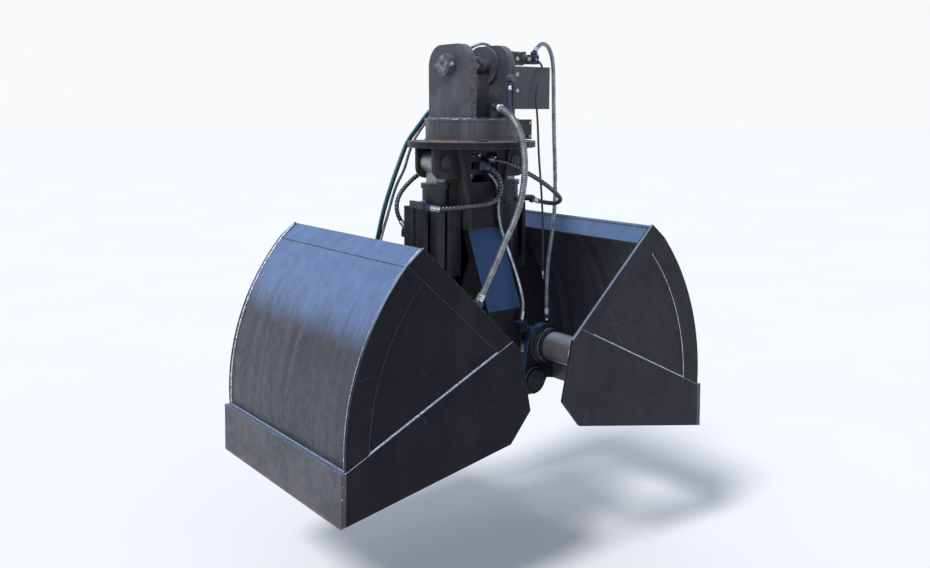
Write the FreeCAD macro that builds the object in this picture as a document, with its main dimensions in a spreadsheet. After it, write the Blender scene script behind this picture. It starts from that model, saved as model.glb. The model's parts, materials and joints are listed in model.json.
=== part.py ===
import FreeCAD, Part
import math
import os
import Sketcher

os.makedirs("parts", exist_ok=True)

V = FreeCAD.Vector
R = FreeCAD.Rotation
doc = FreeCAD.newDocument("clamshell_bucket")
sheet = doc.addObject("Spreadsheet::Sheet", "sizes")
row_count = 0


class Size:
    """A number together with the sheet expression that gives it."""

    def __init__(self, value, text=None):
        self.value = float(value)
        self.text = text if text is not None else "(%r)" % float(value)

    def __add__(self, other):
        other = as_size(other)
        return Size(self.value + other.value, "(%s + %s)" % (self.text, other.text))

    def __radd__(self, other):
        return as_size(other) + self

    def __sub__(self, other):
        other = as_size(other)
        return Size(self.value - other.value, "(%s - %s)" % (self.text, other.text))

    def __rsub__(self, other):
        return as_size(other) - self

    def __mul__(self, other):
        other = as_size(other)
        return Size(self.value * other.value, "(%s * %s)" % (self.text, other.text))

    def __rmul__(self, other):
        return as_size(other) * self

    def __truediv__(self, other):
        other = as_size(other)
        return Size(self.value / other.value, "(%s / %s)" % (self.text, other.text))

    def __neg__(self):
        return Size(-self.value, "(-1 * %s)" % self.text)


def as_size(number):
    if isinstance(number, Size):
        return number
    return Size(number)


def cos(angle):
    angle = as_size(angle)
    return Size(math.cos(math.radians(angle.value)), "cos(%s)" % angle.text)


def sin(angle):
    angle = as_size(angle)
    return Size(math.sin(math.radians(angle.value)), "sin(%s)" % angle.text)


def atan(number):
    return Size(math.degrees(math.atan(number.value)), "atan(%s)" % number.text)


def root(number):
    return Size(math.sqrt(number.value), "sqrt(%s)" % number.text)


def cell(alias, number, note):
    """Adds one row to the sheet and returns its size."""
    global row_count
    row_count += 1
    sheet.set("A%d" % row_count, alias)
    sheet.set("B%d" % row_count, "%.10g" % number)
    sheet.set("C%d" % row_count, note)
    sheet.setAlias("B%d" % row_count, alias)
    return Size(number, "sizes." + alias)


# overall
half_width = cell("half_width", 500, "half of the jaw width")
open_angle = cell("open_angle", 78.9, "turn of a jaw from closed to open, degrees")
pivot_half = cell("pivot_half", 140, "jaw pivot from the middle plane")
mouth_depth = cell("mouth_depth", 838.7, "lip tip below the pivot when closed")
mouth_gap = cell("mouth_gap", 1.5, "half of the gap left between the closed lips")
run_gap = cell("run_gap", 0.05, "radial running clearance of pins")
pivot_height = pivot_half * sin(open_angle) + mouth_depth * cos(open_angle)
pivot_height = pivot_height - mouth_gap * sin(open_angle)

# jaw plates, in the closed pose from the pivot
arc_x = cell("arc_x", -114.6, "shell arc centre, outwards from the pivot")
arc_z = cell("arc_z", 204.3, "shell arc centre, above the pivot")
arc_radius = cell("arc_radius", 991.9, "side plate arc radius")
arc_top = cell("arc_top", -36.5, "arc start angle, degrees")
arc_low = cell("arc_low", -80.4, "arc end angle, degrees")
top_x = cell("top_x", 724.5, "top corner, outwards from the pivot")
top_z = cell("top_z", -306.2, "top corner, above the pivot")
edge_angle = cell("edge_angle", 145.45, "direction of the straight inner edge, degrees")
edge_length = cell("edge_length", 620.8, "length of the straight inner edge")
heel_x = cell("heel_x", -41, "heel corner, outwards from the pivot")
heel_z = cell("heel_z", 48, "heel corner, above the pivot")
mouth_top = cell("mouth_top", 70.3, "upper end of the mouth edge below the pivot")
seam_start = cell("seam_start", 58, "seam from the inner end of the straight edge")
band_edge = cell("band_edge", 77, "width of the straight border band along the seam")
band_arc = cell("band_arc", 95, "width of the curved border band")
band_low = cell("band_low", 104, "lower end of the curved band along the seam")
sheet_thick = cell("sheet_thick", 8, "side sheet thickness")
band_thick = cell("band_thick", 4, "border band thickness")
lower_thick = cell("lower_thick", 6, "lower side plate thickness over the sheet")
shell_drop = cell("shell_drop", 6, "shell below the side plate edge")
shell_thick = cell("shell_thick", 10, "shell thickness")
lip_thick = cell("lip_thick", 20, "lip plate thickness")
strip_width = cell("strip_width", 88, "cross strip width")
strip_thick = cell("strip_thick", 12, "cross strip thickness")

# jaw tube, arms and pins
tube_x = cell("tube_x", 157.8, "cross tube, outwards from the pivot")
tube_z = cell("tube_z", -20, "cross tube, above the pivot")
tube_radius = cell("tube_radius", 61, "cross tube radius")
tube_wall = cell("tube_wall", 14, "cross tube wall")
lug_radius = cell("lug_radius", 68, "rod lug radius")
lug_gap = cell("lug_gap", 36, "half of the gap between the rod lugs")
lug_thick = cell("lug_thick", 24, "rod lug thickness")
arm_inner = cell("arm_inner", 235, "inner face of the arms from the middle plane")
arm_thick = cell("arm_thick", 25, "arm thickness")
hub_radius = cell("hub_radius", 86, "arm hub radius at the tube")
pivot_end = cell("pivot_end", 62, "arm end radius at the pivot")
pin_radius = cell("pin_radius", 35, "jaw pivot pin radius")
pin_head = cell("pin_head", 42, "jaw pivot pin head radius")

# frame
flange_radius = cell("flange_radius", 267, "flange radius")
flange_thick = cell("flange_thick", 25, "flange thickness")
flange_top = cell("flange_top", 1296, "flange top from the floor")
spigot_radius = cell("spigot_radius", 110, "swivel spigot radius")
spigot_height = cell("spigot_height", 52, "swivel spigot height")
front_face = cell("front_face", 90, "column plate face from the middle plane")
column_thick = cell("column_thick", 16, "column plate thickness")
wall_half = cell("wall_half", 100, "half depth of the slanted walls")
wall_thick = cell("wall_thick", 14, "slanted wall thickness")
column_top = cell("column_top", 140, "half width of the column under the flange")
column_low = cell("column_low", 87, "half width of the column at its foot")
bend_height = cell("bend_height", 935, "height of the upper leg bend")
taper_rise = cell("taper_rise", 75, "straight foot of the column above the upper leg bend")
taper_end = bend_height + taper_rise
leg_height = cell("leg_height", 612, "height of the lower leg bend")
leg_face = cell("leg_face", 230, "outer face of the cheeks from the middle plane")
leg_thick = cell("leg_thick", 18, "leg plate thickness along the depth")
leg_half = cell("leg_half", 85, "half width of the legs")
cheek_radius = cell("cheek_radius", 72, "cheek radius at the pivots")
lobe_face = cell("lobe_face", 66, "outer face of the bracket lobes")
lobe_thick = cell("lobe_thick", 14, "bracket lobe thickness")
lobe_reach = cell("lobe_reach", 240, "bracket lobe end from the middle plane")
lobe_low = cell("lobe_low", 1146, "bracket lobe bottom from the floor")
window_half = cell("window_half", 68, "half width of the window")
window_low = cell("window_low", 1128, "window bottom from the floor")
window_high = cell("window_high", 1252, "window top from the floor")

# cylinders
top_pin_x = cell("top_pin_x", 183, "cylinder top pin from the middle plane")
top_pin_z = cell("top_pin_z", 1212, "cylinder top pin from the floor")
top_pin_radius = cell("top_pin_radius", 26, "cylinder top pin radius")
barrel_radius = cell("barrel_radius", 55, "cylinder barrel radius")
barrel_low = cell("barrel_low", 606, "cylinder barrel end above the floor")
rod_radius = cell("rod_radius", 25, "rod radius")
rod_eye = cell("rod_eye", 54, "rod eye radius")
guard_low = cell("guard_low", 745, "guard bottom from the floor")
guard_high = cell("guard_high", 1030, "guard top from the floor")

# head
drum_radius = cell("drum_radius", 196, "slewing drum radius")
drum_top = cell("drum_top", 1387, "slewing drum top from the floor")
drum_gap = cell("drum_gap", 0.5, "gap between the drum and the flange")
ear_inner = cell("ear_inner", 83, "inner face of the ears from the middle plane")
ear_thick = cell("ear_thick", 34, "ear thickness")
ear_half = cell("ear_half", 142, "half width of the ears")
ear_top = cell("ear_top", 1684, "ear top from the floor")
ear_corner = cell("ear_corner", 88, "rounded ear corner")
hanger_height = cell("hanger_height", 1604, "hanger pin from the floor")
hanger_radius = cell("hanger_radius", 36.5, "hanger pin radius")
collar_radius = cell("collar_radius", 46, "hanger pin collar radius")
doc.recompute()

nodes = []
bound = []


def bind(thing, prop, size):
    """Ties one property to the sheet."""
    size = as_size(size)
    thing.setExpression(prop, size.text)
    bound.append((thing, prop, size))


def start_body(name):
    body = doc.addObject("PartDesign::Body", name)
    body.Label = name
    nodes.append(body)
    return body


def origin_plane(body, role):
    for feature in body.Origin.OriginFeatures:
        if feature.Role == role:
            return feature


def new_sketch(body, name, role, offset):
    """A sketch parallel to an origin plane: XZ looks along Y, offset is its Y place."""
    drawing = body.newObject("Sketcher::SketchObject", name)
    drawing.AttachmentSupport = [(origin_plane(body, role), "")]
    drawing.MapMode = "FlatFace"
    shift = as_size(offset)
    if role == "XZ_Plane":
        shift = -shift
    bind(drawing, ".AttachmentOffset.Base.z", shift)
    return drawing


def fix_point(drawing, index, pos, x, y):
    x = as_size(x)
    y = as_size(y)
    where = drawing.addConstraint(Sketcher.Constraint("DistanceX", -1, 1, index, pos, x.value))
    bind(drawing, "Constraints[%d]" % where, x)
    where = drawing.addConstraint(Sketcher.Constraint("DistanceY", -1, 1, index, pos, y.value))
    bind(drawing, "Constraints[%d]" % where, y)


def fix_radius(drawing, index, radius):
    radius = as_size(radius)
    where = drawing.addConstraint(Sketcher.Constraint("Radius", index, radius.value))
    bind(drawing, "Constraints[%d]" % where, radius)


def arc_between(start, end, radius):
    """The short arc of this radius, turning left from start to end for a positive radius."""
    dx = end[0] - start[0]
    dy = end[1] - start[1]
    chord = math.hypot(dx, dy)
    size = abs(radius)
    rise = math.sqrt(max(size * size - chord * chord / 4.0, 0.0))
    side = 1.0 if radius > 0 else -1.0
    cx = (start[0] + end[0]) / 2.0 - side * dy / chord * rise
    cy = (start[1] + end[1]) / 2.0 + side * dx / chord * rise
    first = math.atan2(start[1] - cy, start[0] - cx)
    last = math.atan2(end[1] - cy, end[0] - cx)
    circle = Part.Circle(V(cx, cy, 0), V(0, 0, 1), size)
    if radius > 0:
        return Part.ArcOfCircle(circle, first, last)
    return Part.ArcOfCircle(circle, last, first)


def outline(drawing, points, arcs=None):
    """A closed outline. arcs maps a point number to the radius of the arc that leaves it."""
    arcs = arcs or {}
    count = len(points)
    values = [(as_size(p[0]).value, as_size(p[1]).value) for p in points]
    first = drawing.GeometryCount
    ends = []
    for i in range(count):
        a = values[i]
        b = values[(i + 1) % count]
        if i in arcs:
            sign = arcs[i][0]
            radius = as_size(arcs[i][1])
            drawing.addGeometry(arc_between(a, b, sign * radius.value), False)
            ends.append((1, 2) if sign > 0 else (2, 1))
        else:
            drawing.addGeometry(Part.LineSegment(V(a[0], a[1], 0), V(b[0], b[1], 0)), False)
            ends.append((1, 2))
    for i in range(count):
        j = (i + 1) % count
        link = ("Coincident", first + i, ends[i][1], first + j, ends[j][0])
        drawing.addConstraint(Sketcher.Constraint(*link))
    for i in range(count):
        fix_point(drawing, first + i, ends[i][0], points[i][0], points[i][1])
    for i in arcs:
        fix_radius(drawing, first + i, arcs[i][1])


def box_outline(drawing, x0, y0, x1, y1):
    outline(drawing, [(x0, y0), (x1, y0), (x1, y1), (x0, y1)])


def circle(drawing, x, y, radius):
    spot = V(as_size(x).value, as_size(y).value, 0)
    index = drawing.addGeometry(Part.Circle(spot, V(0, 0, 1), as_size(radius).value), False)
    fix_point(drawing, index, 3, x, y)
    fix_radius(drawing, index, radius)


def link_plate(drawing, first, first_radius, second, second_radius):
    """Two round ends joined by tangent sides."""
    ax, ay = as_size(first[0]).value, as_size(first[1]).value
    bx, by = as_size(second[0]).value, as_size(second[1]).value
    ra = as_size(first_radius).value
    rb = as_size(second_radius).value
    heading = math.atan2(by - ay, bx - ax)
    lean = math.acos((ra - rb) / math.hypot(bx - ax, by - ay))
    up = heading + lean
    down = heading - lean
    start = drawing.GeometryCount
    ca = Part.Circle(V(ax, ay, 0), V(0, 0, 1), ra)
    cb = Part.Circle(V(bx, by, 0), V(0, 0, 1), rb)
    drawing.addGeometry(Part.ArcOfCircle(ca, up, down + 2 * math.pi), False)
    drawing.addGeometry(Part.ArcOfCircle(cb, down, up), False)
    low_a = V(ax + ra * math.cos(down), ay + ra * math.sin(down), 0)
    low_b = V(bx + rb * math.cos(down), by + rb * math.sin(down), 0)
    high_a = V(ax + ra * math.cos(up), ay + ra * math.sin(up), 0)
    high_b = V(bx + rb * math.cos(up), by + rb * math.sin(up), 0)
    drawing.addGeometry(Part.LineSegment(low_a, low_b), False)
    drawing.addGeometry(Part.LineSegment(high_b, high_a), False)
    drawing.addConstraint(Sketcher.Constraint("Tangent", start, 2, start + 2, 1))
    drawing.addConstraint(Sketcher.Constraint("Tangent", start + 2, 2, start + 1, 1))
    drawing.addConstraint(Sketcher.Constraint("Tangent", start + 1, 2, start + 3, 1))
    drawing.addConstraint(Sketcher.Constraint("Tangent", start + 3, 2, start, 1))
    fix_point(drawing, start, 3, first[0], first[1])
    fix_point(drawing, start + 1, 3, second[0], second[1])
    fix_radius(drawing, start, first_radius)
    fix_radius(drawing, start + 1, second_radius)


def pad(body, drawing, length, backwards=False):
    feature = body.newObject("PartDesign::Pad", drawing.Name + "_pad")
    feature.Profile = drawing
    feature.Reversed = backwards
    bind(feature, "Length", length)
    drawing.Visibility = False
    return feature


def pocket(body, drawing, length, backwards=False):
    feature = body.newObject("PartDesign::Pocket", drawing.Name + "_cut")
    feature.Profile = drawing
    feature.Reversed = backwards
    bind(feature, "Length", length)
    drawing.Visibility = False
    return feature


def slab(body, name, role, low, high, draw, cut=False):
    """Pads or cuts the outline drawn by draw between two places along the plane normal."""
    low = as_size(low)
    high = as_size(high)
    drawing = new_sketch(body, body.Name + "_" + name, role, low)
    draw(drawing)
    toward_low = role == "XZ_Plane"
    if cut:
        return pocket(body, drawing, high - low, not toward_low)
    return pad(body, drawing, high - low, toward_low)


def place(thing, x, y, z):
    bind(thing, ".Placement.Base.x", x)
    bind(thing, ".Placement.Base.y", y)
    bind(thing, ".Placement.Base.z", z)


def turn_by(thing, axis, angle):
    """Turns a body about a fixed axis by an angle tied to the sheet."""
    thing.Placement = FreeCAD.Placement(V(0, 0, 0), R(axis, as_size(angle).value))
    bind(thing, ".Placement.Rotation.Angle", angle)


def mirrored(side, points):
    return [(as_size(p[0]) * side, p[1]) for p in points]


def jaw_points():
    """Corner points of a jaw side plate in the closed pose, outwards and up from the pivot."""
    mouth_x = mouth_gap - pivot_half
    top = (top_x, top_z)
    along = (cos(edge_angle), sin(edge_angle))
    inward = (-along[1], along[0])
    bend = (arc_x + arc_radius * cos(arc_top), arc_z + arc_radius * sin(arc_top))
    low = (arc_x + arc_radius * cos(arc_low), arc_z + arc_radius * sin(arc_low))
    mouth = (mouth_x, -mouth_depth + lip_thick)
    toe = (mouth_x, -mouth_depth)
    knee = (top[0] + edge_length * along[0], top[1] + edge_length * along[1])
    seam_at = edge_length - seam_start
    seam = (top[0] + seam_at * along[0], top[1] + seam_at * along[1])
    sx = low[0] - seam[0]
    sz = low[1] - seam[1]
    reach = root(sx * sx + sz * sz)
    slope = (sx / reach, sz / reach)
    return {
        "top": top, "bend": bend, "low": low, "mouth": mouth, "toe": toe, "knee": knee,
        "heel": (heel_x, heel_z), "chin": (mouth_x, -mouth_top), "seam": seam,
        "along": along, "inward": inward, "slope": slope,
    }


def on_arc(radius, angle):
    return (arc_x + radius * cos(angle), arc_z + radius * sin(angle))


def step(start, way, length):
    return (start[0] + way[0] * length, start[1] + way[1] * length)


def seat_jaw(body, side):
    axis = V(0, -side, 0)
    turn_by(body, axis, open_angle)
    place(body, pivot_half * side, 0, pivot_height)


def make_jaw(word, side):
    p = jaw_points()
    inner = half_width - sheet_thick - lower_thick
    face = half_width - lower_thick
    band_face = face + band_thick
    inner_arc = arc_radius - band_arc
    k1 = on_arc(inner_arc, arc_top)
    k2 = step(p["seam"], p["slope"], band_edge)
    k3 = step(p["low"], p["slope"], -band_low)
    full = [p["top"], p["bend"], p["low"], p["mouth"], p["chin"], p["heel"], p["knee"]]
    band = [p["seam"], p["top"], p["bend"], p["low"], k3, k1, k2]
    lower = [p["seam"], k2, k3, p["low"], p["mouth"], p["chin"], p["heel"], p["knee"]]

    for end, depth in (("front", -1), ("rear", 1)):
        body = start_body("%s_jaw_side_%s" % (word, end))
        if depth < 0:
            levels = (-face, -inner), (-band_face, -face), (-half_width, -face)
        else:
            levels = (inner, face), (face, band_face), (face, half_width)
        slab(body, "sheet", "XZ_Plane", levels[0][0], levels[0][1],
             lambda d: outline(d, mirrored(side, full), {1: (-side, arc_radius)}))
        slab(body, "band", "XZ_Plane", levels[1][0], levels[1][1],
             lambda d: outline(d, mirrored(side, band), {2: (-side, arc_radius), 4: (side, inner_arc)}))
        slab(body, "lower", "XZ_Plane", levels[2][0], levels[2][1],
             lambda d: outline(d, mirrored(side, lower)))
        seat_jaw(body, side)

    # shell: flat top, curved back and a foot lapped behind the lip
    outer_r = arc_radius - shell_drop
    inner_r = outer_r - shell_thick
    lap = (p["mouth"][0] - p["low"][0], p["mouth"][1] - p["low"][1])
    lap_length = root(lap[0] * lap[0] + lap[1] * lap[1])
    lap_way = (lap[0] / lap_length, lap[1] / lap_length)
    lap_in = (lap_way[1], -lap_way[0])
    foot_start = step(p["low"], lap_way, 22)
    foot_end = step(p["low"], lap_way, 100)
    foot_inner = step(foot_end, lap_in, shell_thick)
    foot_turn = step(step(p["low"], lap_way, 30), lap_in, shell_thick)
    shell = [
        step(p["top"], p["along"], shell_drop), on_arc(outer_r, arc_top), on_arc(outer_r, arc_low),
        foot_start, foot_end, foot_inner, foot_turn, on_arc(inner_r, arc_low),
        on_arc(inner_r, arc_top), step(p["top"], p["along"], shell_drop + shell_thick),
    ]
    body = start_body("%s_jaw_shell" % word)
    slab(body, "plate", "XZ_Plane", -inner, inner,
         lambda d: outline(d, mirrored(side, shell), {1: (-side, outer_r), 7: (side, inner_r)}))
    seat_jaw(body, side)

    # lip: full width plate whose end meets the other lip
    out = (-lap_in[0], -lap_in[1])
    lip_back = step(p["low"], out, lip_thick)
    body = start_body("%s_jaw_lip" % word)
    slab(body, "plate", "XZ_Plane", -half_width, half_width,
         lambda d: outline(d, mirrored(side, [p["mouth"], p["toe"], lip_back, p["low"]])))
    seat_jaw(body, side)

    # cross strip: along the straight inner edge from the top plate
    s1 = shell[9]
    s2 = step(s1, p["along"], strip_width)
    s3 = step(s2, p["inward"], strip_thick)
    bx = shell[8][0] - s1[0]
    bz = shell[8][1] - s1[1]
    share = strip_thick / root(bx * bx + bz * bz)
    s4 = (s1[0] + bx * share, s1[1] + bz * share)
    body = start_body("%s_jaw_cross_strip" % word)
    slab(body, "plate", "XZ_Plane", -inner, inner,
         lambda d: outline(d, mirrored(side, [s1, s2, s3, s4])))
    seat_jaw(body, side)

    # tube halves with their collars and rod lugs, and the arms down to the pivots
    centre = (tube_x * side, tube_z)
    arm_outer = arm_inner + arm_thick
    for end, depth in (("front", -1), ("rear", 1)):
        body = start_body("%s_jaw_tube_%s" % (word, end))
        rings = [
            ("lug", lug_gap, lug_gap + lug_thick, lug_radius),
            ("tube", lug_gap + lug_thick, inner, tube_radius),
            ("ring", arm_outer, arm_outer + 16, hub_radius),
            ("groove", arm_outer + 16, arm_outer + 22, tube_radius + 8),
            ("collar", arm_outer + 22, arm_outer + 40, tube_radius + 12),
            ("step", arm_outer + 40, arm_outer + 50, tube_radius + 8),
            ("seal", arm_outer + 50, arm_outer + 60, tube_radius + 11),
        ]
        for name, near, far, radius in rings:
            low, high = (-far, -near) if depth < 0 else (near, far)
            slab(body, name, "XZ_Plane", low, high, lambda d: circle(d, centre[0], centre[1], radius))
        low, high = (-inner, -lug_gap - lug_thick) if depth < 0 else (lug_gap + lug_thick, inner)
        slab(body, "bore", "XZ_Plane", low, high,
             lambda d: circle(d, centre[0], centre[1], tube_radius - tube_wall), True)
        seat_jaw(body, side)

        body = start_body("%s_jaw_arm_%s" % (word, end))
        low, high = (-arm_outer, -arm_inner) if depth < 0 else (arm_inner, arm_outer)
        slab(body, "link", "XZ_Plane", low, high,
             lambda d: link_plate(d, centre, hub_radius, (0, 0), pivot_end))
        boss = arm_outer + 6
        boss_low, boss_high = (-boss, -arm_outer) if depth < 0 else (arm_outer, boss)
        slab(body, "boss", "XZ_Plane", boss_low, boss_high, lambda d: circle(d, 0, 0, pivot_end - 8))
        slab(body, "tube_hole", "XZ_Plane", low, high,
             lambda d: circle(d, centre[0], centre[1], tube_radius), True)
        cut_low, cut_high = (-boss, -arm_inner) if depth < 0 else (arm_inner, boss)
        slab(body, "pin_hole", "XZ_Plane", cut_low, cut_high,
             lambda d: circle(d, 0, 0, pin_radius + run_gap), True)
        seat_jaw(body, side)


make_jaw("left", -1)
make_jaw("right", 1)


def plate_across(body, name, depth, near, far, draw, cut=False):
    """A plate facing the front (depth -1) or the rear (depth 1), between two distances."""
    low, high = (-as_size(far), -as_size(near)) if depth < 0 else (near, far)
    return slab(body, name, "XZ_Plane", low, high, draw, cut)


# frame: flange with the swivel spigot
flange_low = flange_top - flange_thick
body = start_body("frame_flange")
slab(body, "disc", "XY_Plane", flange_low, flange_top, lambda d: circle(d, 0, 0, flange_radius))
slab(body, "spigot", "XY_Plane", flange_top, flange_top + spigot_height,
     lambda d: circle(d, 0, 0, spigot_radius))

# column: two window plates between two slanted walls with bracket lobes
plate_back = front_face - column_thick
inner_top = column_top - wall_thick
inner_low = column_low - wall_thick
for end, depth in (("front", -1), ("rear", 1)):
    body = start_body("frame_window_plate_" + end)
    shape = [(-inner_low, bend_height), (inner_low, bend_height), (inner_low, taper_end),
             (inner_top, flange_low), (-inner_top, flange_low), (-inner_low, taper_end)]
    plate_across(body, "plate", depth, plate_back, front_face, lambda d: outline(d, shape))
    r = 14
    hole = [(-window_half + r, window_low), (window_half - r, window_low), (window_half, window_low + r),
            (window_half, window_high - r), (window_half - r, window_high), (-window_half + r, window_high),
            (-window_half, window_high - r), (-window_half, window_low + r)]
    rounds = {1: (1, r), 3: (1, r), 5: (1, r), 7: (1, r)}
    plate_across(body, "window", depth, plate_back, front_face,
                 lambda d: outline(d, hole, rounds), True)

bar_drop = cell("bar_drop", 7, "stop bar top below the upper leg bend")
bar_tall = cell("bar_tall", 40, "stop bar height")
bar_half = cell("bar_half", 22, "half depth of the stop bar")
bar_stand = cell("bar_stand", 11.5, "stop bar beyond the column foot")
bar_high = bend_height - bar_drop
bar_low = bar_high - bar_tall
bar_reach = column_low + bar_stand
for word, side in (("left", -1), ("right", 1)):
    body = start_body("frame_wall_" + word)
    wall = [(column_low, bend_height), (column_low, taper_end), (column_top, flange_low),
            (inner_top, flange_low), (inner_low, taper_end), (inner_low, bend_height)]
    slab(body, "wall", "XZ_Plane", -wall_half, wall_half, lambda d: outline(d, mirrored(side, wall)))
    lean = (column_top - column_low) / (flange_low - taper_end)
    foot = column_low + (lobe_low - taper_end) * lean - 4
    turn = 46
    lobe = [(column_top - 4, flange_low), (foot, lobe_low), (lobe_reach - turn, lobe_low),
            (lobe_reach, lobe_low + turn), (lobe_reach, flange_low)]
    for end, depth in (("front", -1), ("rear", 1)):
        plate_across(body, "lobe_" + end, depth, lobe_face - lobe_thick, lobe_face,
                     lambda d: outline(d, mirrored(side, lobe), {2: (side, turn)}))
    slab(body, "pin_hole", "XZ_Plane", -lobe_face, lobe_face,
         lambda d: circle(d, top_pin_x * side, top_pin_z, top_pin_radius), True)
    slot = [(inner_low - 2, bar_low), (column_low + 2, bar_low), (column_low + 2, bar_high),
            (inner_low - 2, bar_high)]
    slab(body, "bar_slot", "XZ_Plane", -bar_half, bar_half, lambda d: outline(d, mirrored(side, slot)), True)

body = start_body("frame_stop_bar")
slab(body, "bar", "XZ_Plane", -bar_half, bar_half,
     lambda d: box_outline(d, -bar_reach, bar_low, bar_reach, bar_high))

# legs: flared plates with stiffening edges, ending in the cheeks that hold the jaw pivots
cheek_back = leg_face - leg_thick
for end, depth in (("front", -1), ("rear", 1)):
    body = start_body("frame_leg_" + end)
    slope = [(front_face * depth, bend_height), (plate_back * depth, bend_height),
             (cheek_back * depth, leg_height), (leg_face * depth, leg_height)]
    slab(body, "slope", "YZ_Plane", -leg_half, leg_half, lambda d: outline(d, slope))
    rib = [(plate_back * depth, bend_height), ((plate_back - 24) * depth, bend_height),
           ((cheek_back - 24) * depth, leg_height), (cheek_back * depth, leg_height)]
    slab(body, "rib_left", "YZ_Plane", -leg_half, 12 - leg_half, lambda d: outline(d, rib))
    slab(body, "rib_right", "YZ_Plane", leg_half - 12, leg_half, lambda d: outline(d, rib))
    stem = [(-leg_half, leg_height), (-leg_half - 8, pivot_height), (leg_half + 8, pivot_height),
            (leg_half, leg_height)]
    plate_across(body, "stem", depth, cheek_back, leg_face, lambda d: outline(d, stem))
    plate_across(body, "cheek", depth, cheek_back, leg_face,
                 lambda d: link_plate(d, (-pivot_half, pivot_height), cheek_radius,
                                      (pivot_half, pivot_height), cheek_radius))
    if depth < 0:
        slab(body, "foot_port", "XY_Plane", 522, 557, lambda d: box_outline(d, 50, -272, 84, -229))
    for word, side in (("left", -1), ("right", 1)):
        plate_across(body, "pin_hole_" + word, depth, cheek_back, leg_face,
                     lambda d: circle(d, pivot_half * side, pivot_height, pin_radius), True)

body = start_body("frame_cross_beam")
beam_low = leg_height - 132
beam_high = leg_height - 22
slab(body, "beam", "XZ_Plane", -cheek_back, cheek_back,
     lambda d: box_outline(d, -leg_half, beam_low, leg_half, beam_high))
slab(body, "hollow", "XZ_Plane", -cheek_back, cheek_back,
     lambda d: box_outline(d, 10 - leg_half, beam_low + 10, leg_half - 10, beam_high - 10), True)

# pins of the frame
for word, side in (("left", -1), ("right", 1)):
    body = start_body("frame_cylinder_pin_" + word)
    slab(body, "pin", "XZ_Plane", -lobe_face - 6, lobe_face + 6,
         lambda d: circle(d, top_pin_x * side, top_pin_z, top_pin_radius))
    for end, depth in (("front", -1), ("rear", 1)):
        body = start_body("frame_pivot_pin_%s_%s" % (word, end))
        head_at = arm_inner + arm_thick + 7.5
        pin_steps = [
            ("shank", cheek_back - 8, head_at, pin_radius),
            ("inner", cheek_back - 8, cheek_back, pin_head),
            ("spacer", leg_face, arm_inner - 0.5, pin_head + 6),
            ("head", head_at, head_at + 10, pin_head),
        ]
        for name, near, far, radius in pin_steps:
            plate_across(body, name, depth, near, far,
                         lambda d: circle(d, pivot_half * side, pivot_height, radius))

# hose manifold hanging under the flange behind the window
body = start_body("frame_manifold")
slab(body, "block", "XY_Plane", window_low + 30, flange_low, lambda d: box_outline(d, -52, -48, 52, 48))
slab(body, "elbow", "XY_Plane", 1182, 1210, lambda d: box_outline(d, -46, -118, -12, -46))
slab(body, "port_right", "XZ_Plane", -66, -48, lambda d: circle(d, 30, 1222, 13))
slab(body, "port_low", "XZ_Plane", -66, -48, lambda d: circle(d, 34, 1168, 10))
slab(body, "port_rear", "XZ_Plane", 48, 66, lambda d: circle(d, -22, 1186, 13))

# cylinders, drawn down from the top pin
eye_x = pivot_half + tube_x * cos(open_angle) - tube_z * sin(open_angle)
eye_z = pivot_height + tube_x * sin(open_angle) + tube_z * cos(open_angle)
drop_x = eye_x - top_pin_x
drop_z = top_pin_z - eye_z
pin_to_eye = root(drop_x * drop_x + drop_z * drop_z)
tilt = atan(drop_x / drop_z)


def seat_cylinder(body, side):
    turn_by(body, V(0, -side, 0), tilt)
    place(body, top_pin_x * side, 0, top_pin_z)


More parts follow.
